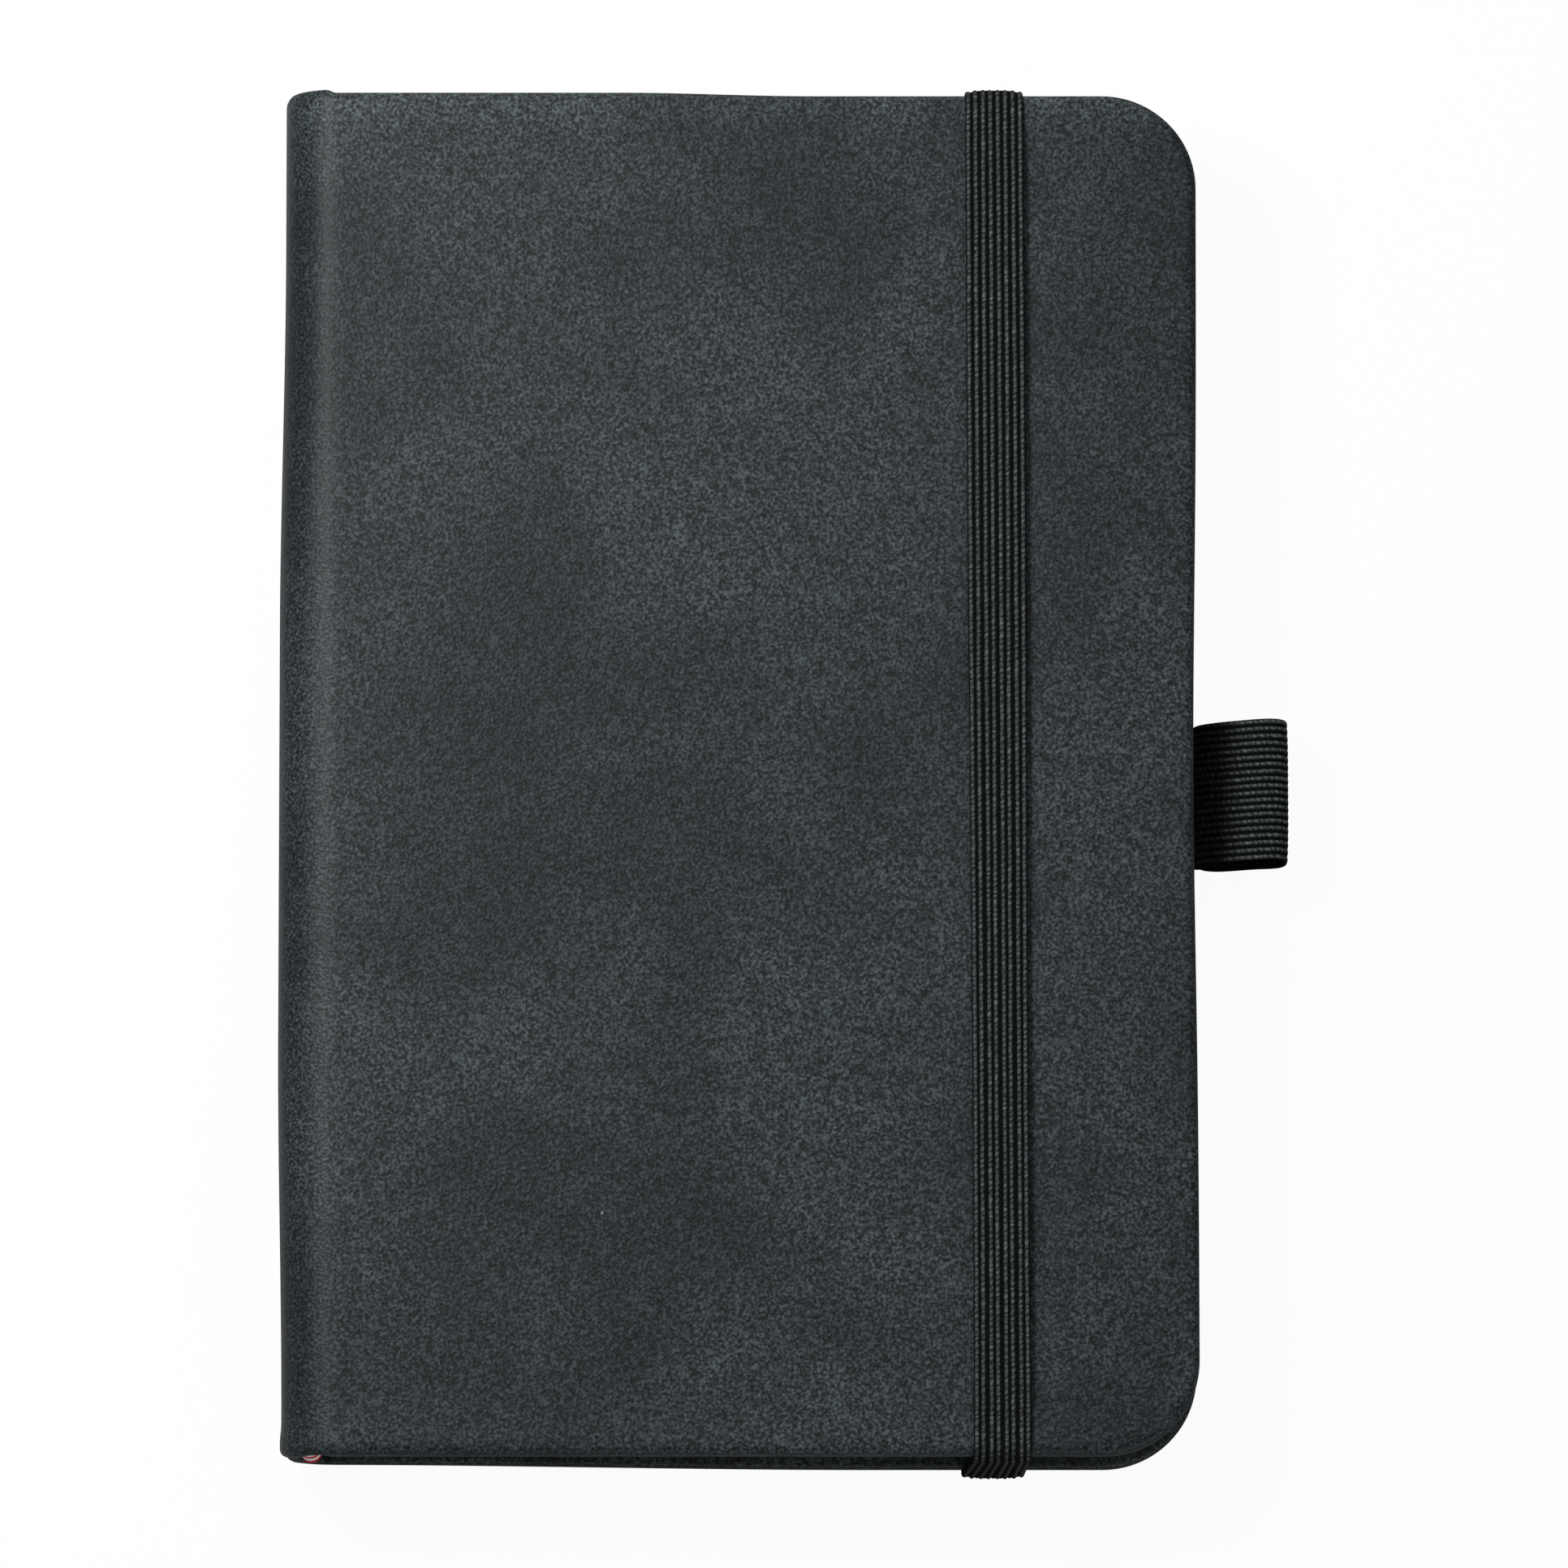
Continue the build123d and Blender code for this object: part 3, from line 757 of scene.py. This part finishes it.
def ribbed_elastic_tree():
    """Geometry tree: parallel round ribs laid side by side along a path."""
    sizes = ["Pitch", "Rib Radius", "Crown", "Valley Radius", "Valley Depth", "Waver", "Step"]
    tree, given = geometry_tree("ribbed elastic", "Elastic", {
        "Geometry": ["Path"],
        "Int": ["Ribs", "Lower Ribs"],
        "Float": sizes,
        "Vector": ["Across"],
        "Material": ["Material"],
    })
    curve = outlet(tree, "GeometryNodeMeshToCurve", 0, {"Mesh": given["Path"]})
    sampled = {"Curve": curve, "Length": given["Step"]}
    even = outlet(tree, "GeometryNodeResampleCurve", 0, sampled, mode="LENGTH")
    length = outlet(tree, "GeometryNodeSplineParameter", "Length")
    path = stored(even, "along", length + named_value(tree, "start"))
    gaps = given["Ribs"] - 1.0
    radius = given["Rib Radius"]
    upper = threads_along(given, path, given["Ribs"], radius, 0.0, gaps)
    sunk = threads_along(given, path, gaps, given["Valley Radius"], given["Valley Depth"], gaps - 1.0)
    lift = named_value(tree, "lift")
    lower = threads_along(given, path, given["Lower Ribs"], radius * 0.97, lift, gaps)
    joined = place(tree, "GeometryNodeJoinGeometry")
    for threads in (upper, stored(sunk, "valley", 1.0), lower):
        tree.links.new(threads.socket, joined.inputs[0])
    ended(Value(joined.outputs[0]), given["Material"], "Elastic")
    return tree


def wound_bead_tree():
    """Geometry tree: tilted turns of thread packed along a bead's core."""
    tree, given = geometry_tree("wound bead", "Bead", {
        "Geometry": ["Core"],
        "Int": ["Turns"],
        "Float": ["Length", "Winding Radius", "Thread Radius"],
        "Vector": ["Foot", "Tilt", "Oval"],
        "Material": ["Material"],
    })
    rise = {"Z": given["Length"] / (given["Turns"] - 1.0)}
    climb = outlet(tree, "ShaderNodeCombineXYZ", 0, rise)
    inputs = {"Count": given["Turns"], "Start Location": given["Foot"], "Offset": climb}
    line = outlet(tree, "GeometryNodeMeshLine", 0, inputs, mode="OFFSET")
    ring = circle(tree, 24, given["Winding Radius"])
    thread = circle(tree, 8, given["Thread Radius"])
    turn = outlet(tree, "GeometryNodeCurveToMesh", 0, {"Curve": ring, "Profile Curve": thread})
    oval = outlet(tree, "GeometryNodeTransform", 0, {"Geometry": turn, "Scale": given["Oval"]})
    numbered = stored(line, "turn", outlet(tree, "GeometryNodeInputIndex", 0))
    inputs = {"Points": numbered, "Instance": oval, "Rotation": given["Tilt"]}
    wound = outlet(tree, "GeometryNodeInstanceOnPoints", 0, inputs)
    ended(wound, given["Material"], "Bead")
    return tree


def grown(name, seed_mesh, tree, values):
    """The plain mesh that a geometry tree makes from a seed mesh."""
    seed = in_scene(name + " seed", seed_mesh)
    modifier = seed.modifiers.new("grow", "NODES")
    modifier.node_group = tree
    for socket in tree.interface.items_tree:
        if socket.name in values:
            modifier[socket.identifier] = values[socket.name]
    bpy.context.view_layer.update()
    evaluated = seed.evaluated_get(bpy.context.evaluated_depsgraph_get())
    mesh = bpy.data.meshes.new_from_object(evaluated)
    mesh.name = name
    mesh.set_sharp_from_angle(angle=radians(60))
    seed.modifiers.clear()
    bpy.data.objects.remove(seed)
    return in_scene(name, mesh)


# ---- elastic pieces ----
RIB = RIB_PITCH * RIB_ROUND
BAND_MIDDLE = (RUN_LOW.x + RUN_HIGH.x) / 2 + BAND_SET
TUCK_MIDDLE = (TUCK_LOW.x + TUCK_HIGH.x) / 2
BAND_TOP = RUN_HIGH.z - RIB
BAND_END = millimetres("band_leg_head")[1].y - RIB
BAND_LOW = RIB + 0.01
TUCK_END = Y_EDGE - 23.5
LEG_REACH = {"tail": 0.22, "head": -0.08}  # a leg reaches this much past the CAD one
LEG_WEAR = 0.75


def elastic(name, node, path, across, weave, ribs=BAND_RIBS, pitch=RIB_PITCH, start=0, **shares):
    """A run of ribbed elastic along a path of points in millimetres, in place of a CAD node.

    A share is a list with a number for each point: spread is its width, crown how far its
    edges fall away and the wear share how grey its tops are, all as shares; on the pen loop the
    wear share is painted shade by the book and a painted highlight at its outer end. Pairing is
    how much closer the ribs of a pair lie, and lift how far a second layer of ribs lies below."""
    tree, material = weave
    mesh = bpy.data.meshes.new(name)
    edges = [(k, k + 1) for k in range(len(path) - 1)]
    mesh.from_pydata([Vector(p) * MM for p in path], edges, [])
    usual = {"spread": 1.0, "crown": 1.0, "wear_and_painted_light": 1.0, "lift": 1.0, "pairing": 0.0, "start": start}
    for key, value in usual.items():
        unit = MM if key in ("lift", "pairing", "start") else 1
        share = [number * unit for number in shares.get(key, [value] * len(path))]
        mesh.attributes.new(key, "FLOAT", "POINT").data.foreach_set("value", share)
    values = {
        "Ribs": ribs,
        "Lower Ribs": ribs if "lift" in shares else 0,
        "Pitch": pitch * MM,
        "Rib Radius": pitch * RIB_ROUND * MM,
        "Across": across,
        "Crown": 0.1 * MM,
        "Valley Radius": pitch * VALLEY_ROUND * MM,
        "Valley Depth": pitch * VALLEY_DEPTH * MM,
        "Waver": 0.12 * MM,
        "Step": 0.45 * MM,
        "Material": material,
    }
    piece = grown(name, mesh, tree, values)
    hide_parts(node)
    return piece


def slanted(y):
    """The band's middle line over the front cover."""
    return BAND_MIDDLE - BAND_SLANT * y / Y_EDGE


def band_spread(y):
    """The band's width along its run, as a share: widest in its head half."""
    return 0.985 + 0.022 * sin(pi * y / Y_EDGE)


def band_pairing(y):
    """How much closer the ribs of a pair lie, growing towards the tail."""
    return 0.02 + 0.07 * smoothstep(50, -50, y)


def band_lift(y):
    """How far the run's upper ribs lie above its lower ones."""
    return BAND_LIFT * (1 - smoothstep(Y_EDGE - 8, Y_EDGE - 2, abs(y)))


def run_piece(side, end, weave):
    """Half of the band's run over the front cover."""
    places = [side * y for y in spaced([0, EDGE_Y - 8, EDGE_Y + 0.15], 2)]
    run = [(slanted(y), y, BAND_TOP + band_lift(y)) for y in places]
    makers = {"spread": band_spread, "lift": band_lift, "pairing": band_pairing}
    shares = {key: [maker(y) for y in places] for key, maker in makers.items()}
    half = elastic(f"band_front_{end}", "band_front_run", run, (side, 0, 0), weave, **shares)
    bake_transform(half)


def leg_piece(side, end, weave):
    """The band where it comes round the edge of the case."""
    band_end = BAND_END + LEG_REACH[end]
    top_x = slanted(side * Y_EDGE)
    foot_x = TUCK_MIDDLE + FOOT_SET - FOOT_ASIDE
    corners = [(EDGE_Y, BAND_TOP), (band_end, BAND_TOP), (band_end, BAND_LOW), (EDGE_Y, BAND_LOW)]
    path, crown, spread = [], [], []
    for y, z in rounded_path(corners, ((band_end - EDGE_Y) * 0.98, RIB), 0.2):
        share = (BAND_TOP - z) / (BAND_TOP - BAND_LOW)
        path.append((top_x + (foot_x - top_x) * share, side * y, z))
        crown.append(1 + 0.8 * smoothstep(EDGE_Y, band_end, y))
        spread.append(band_spread(side * Y_EDGE) * (1 - share) + FOOT_SPREAD * share)
    shares = {"spread": spread, "crown": crown, "wear_and_painted_light": [LEG_WEAR] * len(path)}
    shares["pairing"] = [band_pairing(side * Y_EDGE)] * len(path)
    names = f"band_leg_{end}_ribs", f"band_leg_{end}"
    leg = elastic(*names, path, (side, 0, 0), weave, start=EDGE_Y, **shares)
    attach(leg, "back_cover")
    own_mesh(leg)


def tuck_piece(side, end, weave):
    """The band's end under the case, through its slit and glued inside the back cover."""
    slit, top = SLIT_OUT - SLIT / 2, COVER - RIB
    corners = [(EDGE_Y, BAND_LOW), (slit, BAND_LOW), (slit, top), (TUCK_END, top)]
    line = divided(rounded_path(corners, (RIB, RIB), 0.15), 1.0)
    outer = [smoothstep(slit + 1, EDGE_Y, y) for y, _ in line]
    path = [
        (TUCK_MIDDLE + (FOOT_SET - FOOT_ASIDE) * share, side * y, z)
        for share, (y, z) in zip(outer, line)
    ]
    spread = [1 + (FOOT_SPREAD - 1) * share for share in outer]
    names = f"band_end_{end}", f"band_tuck_{end}"
    tuck = elastic(*names, path, (side, 0, 0), weave, start=EDGE_Y + 18, spread=spread)
    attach(tuck, "back_cover")


def band_pieces(weave):
    """The closure band: two halves of the front run, two legs and two tucked ends."""
    for side, end in ((-1, "tail"), (1, "head")):
        run_piece(side, end, weave)
        leg_piece(side, end, weave)
        tuck_piece(side, end, weave)


def loop_piece(weave):
    """The pen loop: an elastic ring past the fore edge and its tab inside the back cover."""
    rib = LOOP_PITCH * RIB_ROUND
    radius = (LOOP_HIGH.z - LOOP_LOW.z) / 2 - rib
    centre_x, centre_z = LOOP_HIGH.x - radius - rib, LOOP_LOW.z + radius + rib
    middle_y = (LOOP_LOW.y + LOOP_HIGH.y) / 2
    tab_z = COVER - rib
    path = [(LOOP_LOW.x + 0.4, middle_y, tab_z), (X_FORE - 1.0, middle_y, tab_z)]
    wear_and_painted_light, spread = [0.4, 0.4], [0.975, 0.975]
    turn_start = pi - asin((tab_z - centre_z) / radius)
    for k in range(LOOP_STEPS + 1):
        turn = k / LOOP_STEPS
        angle = turn_start - (2 * pi + LOOP_LAP) * turn
        power = 2.8 + 1.4 * smoothstep(-0.3, 0.6, cos(angle))
        square = (abs(cos(angle)) ** power + abs(sin(angle)) ** power) ** (-1 / power)
        square = 1 + (square - 1) * smoothstep(0, 10, k)
        out = radius * square * (1 - 0.012 * turn)
        along_x, along_z = out * 1.03 * cos(angle), out * sin(angle)
        if along_x < 0:
            along_x *= 1 + LOOP_LEAN * smoothstep(-0.3, 0.3, sin(angle))
        out_share = smoothstep(-radius, radius, along_x)
        y = middle_y + LOOP_SKEW * (out_share - 0.2) * smoothstep(0, 8, k)
        path.append((centre_x + 0.2 + along_x, y, centre_z + along_z))
        # painted shade: the loop's tops are painted darker on its side by the book, where the front
        # cover's shadow falls, and a painted highlight lightens its outer end
        painted_light_share = 0.22 + 0.85 * smoothstep(-0.6, 0.15, along_x / radius)
        wear_and_painted_light.append(painted_light_share + 0.25 * smoothstep(0.6, 1, along_x / radius))
        spread.append(0.97 + 0.03 * sin(pi * min(turn * 1.35, 1)) ** 0.6)
    size = {"ribs": LOOP_RIBS, "pitch": LOOP_PITCH, "spread": spread, "wear_and_painted_light": wear_and_painted_light}
    piece = elastic("pen_loop_ribs", "pen_loop", path, (0, -1, 0), weave, **size)
    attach(piece, "back_cover")


# ---- paper ----
SECTIONS = 12
TURNED_SECTION = 1  # goes over with the front cover
SHEETS = 4  # folded sheets in one section, nested
LEAF_FILL = 0.44  # half a leaf's thickness, as a share of the leaves' spacing
FOLD_HELD = 0.7  # turned paper stays with the other folds for this far
GUTTER_BEND = 6.2  # and arches over the edge of the spine within this length
LEAF_HINGE = 14.0  # the back flyleaf lifts from its joint up to here
BAND_HOLD = 1.5  # the slack band holds it down from this far before its ribs


def bend_places(start, length, steps):
    """Stations along a bend of paper, from where it starts to where it lies flat again."""
    return [start + length * k / steps for k in range(steps + 1)]


def gutter_places(low):
    """The same for paper that turns with the cover, over the edge of the spine."""
    return bend_places(low.x + FOLD_HELD, GUTTER_BEND, 16)


def bent(piece):
    """Bakes the paper's placement into its mesh; the mesh is divided where the paper would bend."""
    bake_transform(piece)


def corner_arc(fore, half, corner):
    """Points (x, half width) round a leaf's fore corner, from its end to its fore edge."""
    return [(fore - corner + corner * s, half - corner + corner * c) for s, c in quarter(8)]


def strip_faces(first, count):
    """The faces of a closed strip with four points at each of its stations."""
    faces = [(first + 2, first + 3, first + 1, first)]
    end = first + 4 * (count - 1)
    for a in range(first, end, 4):
        b = a + 4
        faces += [(a, a + 1, b + 1, b), (a + 3, a + 2, b + 2, b + 3)]
        faces += [(a + 2, a, b, b + 2), (a + 1, a + 3, b + 3, b + 1)]
    return faces + [(end, end + 1, end + 3, end + 2)]


def leaf_piece(name, node, bends, material):
    """A single leaf with rounded fore corners, divided where it bends."""
    low, high = millimetres(node)
    stations = [(x, high.y) for x in [low.x] + bends]
    stations += corner_arc(high.x, high.y, CORNER - (X_FORE - high.x))
    sides = [(z, side) for z in (low.z, high.z) for side in (-1, 1)]
    points = [(x, side * half, z) for x, half in stations for z, side in sides]
    piece = mesh_object(name, points, strip_faces(0, len(stations)), material)
    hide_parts(node)
    return piece


def flyleaf_pieces(material):
    """The two free endpapers: the front one turns with the cover, and the back one lies
    under the slack band."""
    bends = gutter_places(millimetres("front_flyleaf")[0])
    front = leaf_piece("front_endleaf", "front_flyleaf", bends, material)
    bent(front)
    start = millimetres("back_flyleaf")[0].x + LEAF_HINGE
    bends = bend_places(start, RUN_LOW.x - BAND_HOLD - start, 24)
    back = leaf_piece("back_endleaf", "back_flyleaf", bends, material)
    bent(back)


def sheet_line(low, high, sheet, seed, bends):
    """One folded sheet's section, as stations of (x, z, half width, outward direction)."""
    leaf_step = (high.z - low.z) / (2 * SHEETS)
    z_low, z_high = low.z + (sheet + 0.5) * leaf_step, high.z - (sheet + 0.5) * leaf_step
    fold = (z_high - z_low) / 2
    fold_x = low.x + sheet * leaf_step + leaf_step * LEAF_FILL + fold
    corner = CORNER - (X_FORE - high.x)
    leaves = []
    for leaf, z in ((0, z_low), (1, z_high)):
        fore = high.x - 0.03 + 0.05 * noise.noise(Vector((seed, sheet, leaf)) * 7.7)
        half = high.y - 0.02 + 0.03 * noise.noise(Vector((sheet, leaf, seed)) * 5.1)
        edge = corner_arc(fore, half, corner)[::-1]
        edge += [(x, half) for x in bends[::-1] + [fold_x]]
        leaves.append([(x, z, width, (0, 1 if leaf else -1)) for x, width in edge])
    around = []
    fold_half = leaves[0][-1][2]
    for k in range(1, 6):
        angle = -pi / 2 - pi * k / 6
        way = (cos(angle), sin(angle))
        middle = (z_low + z_high) / 2
        around.append((fold_x + fold * way[0], middle + fold * way[1], fold_half, way))
    return leaves[0] + around + leaves[1][::-1]


def section_piece(name, node, body, seed, material, edge_material):
    """A sewn section: nested folded sheets with rounded fore corners."""
    low, high = millimetres(node)
    bends = [] if body == "text_block" else gutter_places(low)
    half_paper = (high.z - low.z) / (2 * SHEETS) * LEAF_FILL
    points, faces, trimmed = [], [], []
    for sheet in range(SHEETS):
        line = sheet_line(low, high, sheet, seed, bends)
        faces += strip_faces(len(points), len(line))
        trimmed += [True] + [False, False, True, True] * (len(line) - 1) + [True]
        for x, z, half, (nx, nz) in line:
            for offset in (half_paper, -half_paper):
                for side in (-1, 1):
                    points.append((x + nx * offset, side * half, z + nz * offset))
    piece = mesh_object(name, points, faces, material)
    piece.data.materials.append(edge_material)
    for face, cut in zip(piece.data.polygons, trimmed):
        face.material_index = int(cut)
    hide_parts(node)
    if bends:
        bent(piece)
    else:
        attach(piece, body)


# ---- head and tail bands ----
BEAD_RADIUS = 0.95
BEAD_TAPE = 0.3
BEAD_FOOT = 0.7  # thickness of the tape where it turns over the ends of the folds
BEAD_OUT = 2.55  # the bead's outer side stands this far past the folds
BEAD_ROOM = 1.0  # radius of the bead with its thread
BEAD_IN = 0.55  # the tail's bead is pulled in by the bent case
BEAD_ASIDE = 0.2
BEAD_TILT = 0.25
BEAD_SIDES = 32


def bead_core(name, x, y, low, high, material):
    """The bead's cotton core, and the tape that glues it to the ends of the folds."""
    near, far = (low.y, high.y) if y > 0 else (high.y, low.y)
    folds = far - copysign(BEAD_OUT, y)
    foot = folds + copysign(BEAD_FOOT, y)
    blocks = ((low.x + BEAD_TAPE, sorted((near, foot))), (x + 0.3, sorted((folds, foot))))
    points, faces = [], []
    for far_x, ys in blocks:
        faces += strip_faces(len(points), 2)
        points += [(a, b, c) for c in (low.z, high.z) for b in ys for a in (low.x, far_x)]
    ring = list(range(len(points), len(points) + BEAD_SIDES))
    for z in (low.z + 0.02, high.z - 0.02):
        for k in range(BEAD_SIDES):
            angle = 2 * pi * k / BEAD_SIDES
            points.append((x + BEAD_RADIUS * cos(angle), y + BEAD_RADIUS * sin(angle), z))
    faces += [tuple(ring[::-1]), tuple(k + BEAD_SIDES for k in ring)]
    for a, b in zip(ring, ring[1:] + ring[:1]):
        faces.append((a, b, b + BEAD_SIDES, a + BEAD_SIDES))
    return mesh_object(name, points, faces, material)


def bead_pieces(tree, material, tape):
    """Thread wound slantwise over the beads at the head and the tail of the text block."""
    for side, end, pulled in ((-1, "tail", 1), (1, "head", 0)):
        low, high = millimetres(f"{end}_band")
        y = (high.y if side > 0 else low.y) - side * (BEAD_ROOM + BEAD_IN * pulled)
        x = high.x - BEAD_ROOM - BEAD_ASIDE * pulled
        core = bead_core(f"{end}_band_core", x, y, low, high, tape)
        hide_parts(f"{end}_band")
        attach(core, "text_block")
        values = {
            "Turns": 25,
            "Length": (high.z - low.z - 1.1) * MM,
            "Foot": (x * MM, y * MM, (low.z + 0.55) * MM),
            "Winding Radius": 0.98 * MM,
            "Thread Radius": 0.17 * MM,
            "Tilt": (0, -BEAD_TILT, 0),
            "Oval": (1 / cos(BEAD_TILT), 1, 1),
            "Material": material,
        }
        seed = bpy.data.meshes.new(f"{end} bead")
        piece = grown(f"{end}_band_thread", seed, tree, values)
        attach(piece, "text_block")


# ---- stage ----
FLOOR_REACH = 2500
FLOOR_TOP = -0.2
WHITE = (1, 1, 1, 1)
CAMERA_AIM = (4.74, -0.22, 8.2)
CAMERA_AWAY = 1.8475  # metres
CAMERA_TILT = 8.36  # degrees towards the tail
CAMERA_LENS = 400.3


def stage():
    """Pale floor, soft light and the camera."""
    scene = bpy.context.scene
    world = bpy.data.worlds.new("studio")
    scene.world = world
    world.use_nodes = True
    tree = world.node_tree
    tree.nodes.clear()
    seen = outlet(tree, "ShaderNodeLightPath", "Is Camera Ray")
    skies = {"Color": (0.95, 0.98, 1.0, 1), "Strength": 0.22}, {"Color": WHITE, "Strength": 1.0}
    soft, white = (outlet(tree, "ShaderNodeBackground", 0, sky) for sky in skies)
    shown = outlet(tree, "ShaderNodeMixShader", 0, {0: seen, 1: soft, 2: white})
    place(tree, "ShaderNodeOutputWorld", {"Surface": shown})

    floor_material, tree = blank_material("pale floor")
    seen = outlet(tree, "ShaderNodeLightPath", "Is Camera Ray")
    shade = mixed(seen, (0.3, 0.3, 0.3, 1), (0.85, 0.85, 0.85, 1))
    matte = outlet(tree, "ShaderNodeBsdfDiffuse", 0, {"Color": shade})
    glow = outlet(tree, "ShaderNodeEmission", 0, {"Color": WHITE, "Strength": 1.0})
    shown = outlet(tree, "ShaderNodeMixShader", 0, {0: seen * 0.95, 1: matte, 2: glow})
    place(tree, "ShaderNodeOutputMaterial", {"Surface": shown})
    signs = ((-1, -1), (1, -1), (1, 1), (-1, 1))
    corners = [(x * FLOOR_REACH, y * FLOOR_REACH, FLOOR_TOP) for x, y in signs]
    floor = mesh_object("floor", corners, [(0, 1, 2, 3)], floor_material)

    aim = Vector(CAMERA_AIM) * MM
    add_light("key", aim, (-0.57, 0.38, 1.0), 0.5, 0.17, 2.2)
    add_light("fill", aim, (0.6, 0.5, 1.1), 1.6, 1.2, 1.2)
    add_light("head side", aim, (0.0, 1.0, 0.4), 1.0, 0.6, 3.6)
    add_light("tail side", aim, (0.45, -1.0, 0.3), 1.0, 0.6, 2.3)

    camera_data = bpy.data.cameras.new("camera")
    camera_data.lens = CAMERA_LENS
    camera = in_scene("camera", camera_data)
    tilt = radians(CAMERA_TILT)
    camera.location = aim + Vector((0, -sin(tilt), cos(tilt))) * CAMERA_AWAY
    camera.rotation_euler = (tilt, 0, 0)
    scene.camera = camera
    scene.view_settings.view_transform = "Standard"


def add_light(name, aim, direction, distance, size, power):
    """A soft square lamp that points at the notebook."""
    data = bpy.data.lights.new(name, "AREA")
    data.size = size
    data.energy = power
    lamp = in_scene(name, data)
    lamp.location = aim + Vector(direction).normalized() * distance
    lamp.rotation_euler = (aim - lamp.location).to_track_quat("-Z", "Y").to_euler()


# ---- the notebook ----
def dress_nodes(material, *nodes):
    """Gives CAD nodes their finish."""
    for name in nodes:
        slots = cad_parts[name].data.materials
        slots.clear()
        slots.append(material)


def build():
    """Every piece of the notebook, some of them on its bodies."""
    leather = leather_material()
    paper = paper_material("ruled page", (0.86, 0.82, 0.70, 1), True)
    edges = page_edge_material()
    endpaper = paper_material("endpaper", (0.84, 0.80, 0.69, 1), False)
    card = board_material()

    front = case_leather("front_case_leather", False, leather)
    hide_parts("front_leather", "front_joint_leather", "spine_leather")
    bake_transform(front)
    back = case_leather("back_case_leather", True, leather)
    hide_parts("back_leather", "back_joint_leather")
    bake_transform(back)

    weave = ribbed_elastic_tree(), elastic_material()
    band_pieces(weave)
    loop_piece(weave)

    for number in range(1, SECTIONS + 1):
        body = "first_section" if number == TURNED_SECTION else "text_block"
        names = f"sheets_{number:02d}", f"section_{number:02d}"
        section_piece(*names, body, number, paper, edges)

    bead_pieces(wound_bead_tree(), striped_material(), tape_material())

    dress_nodes(card, "back_board", "front_board", "spine_liner")
    flyleaf_pieces(endpaper)
    dress_nodes(endpaper, "back_pastedown", "front_pastedown")
    dress_nodes(gauze_material(), "mull")


build()
stage()
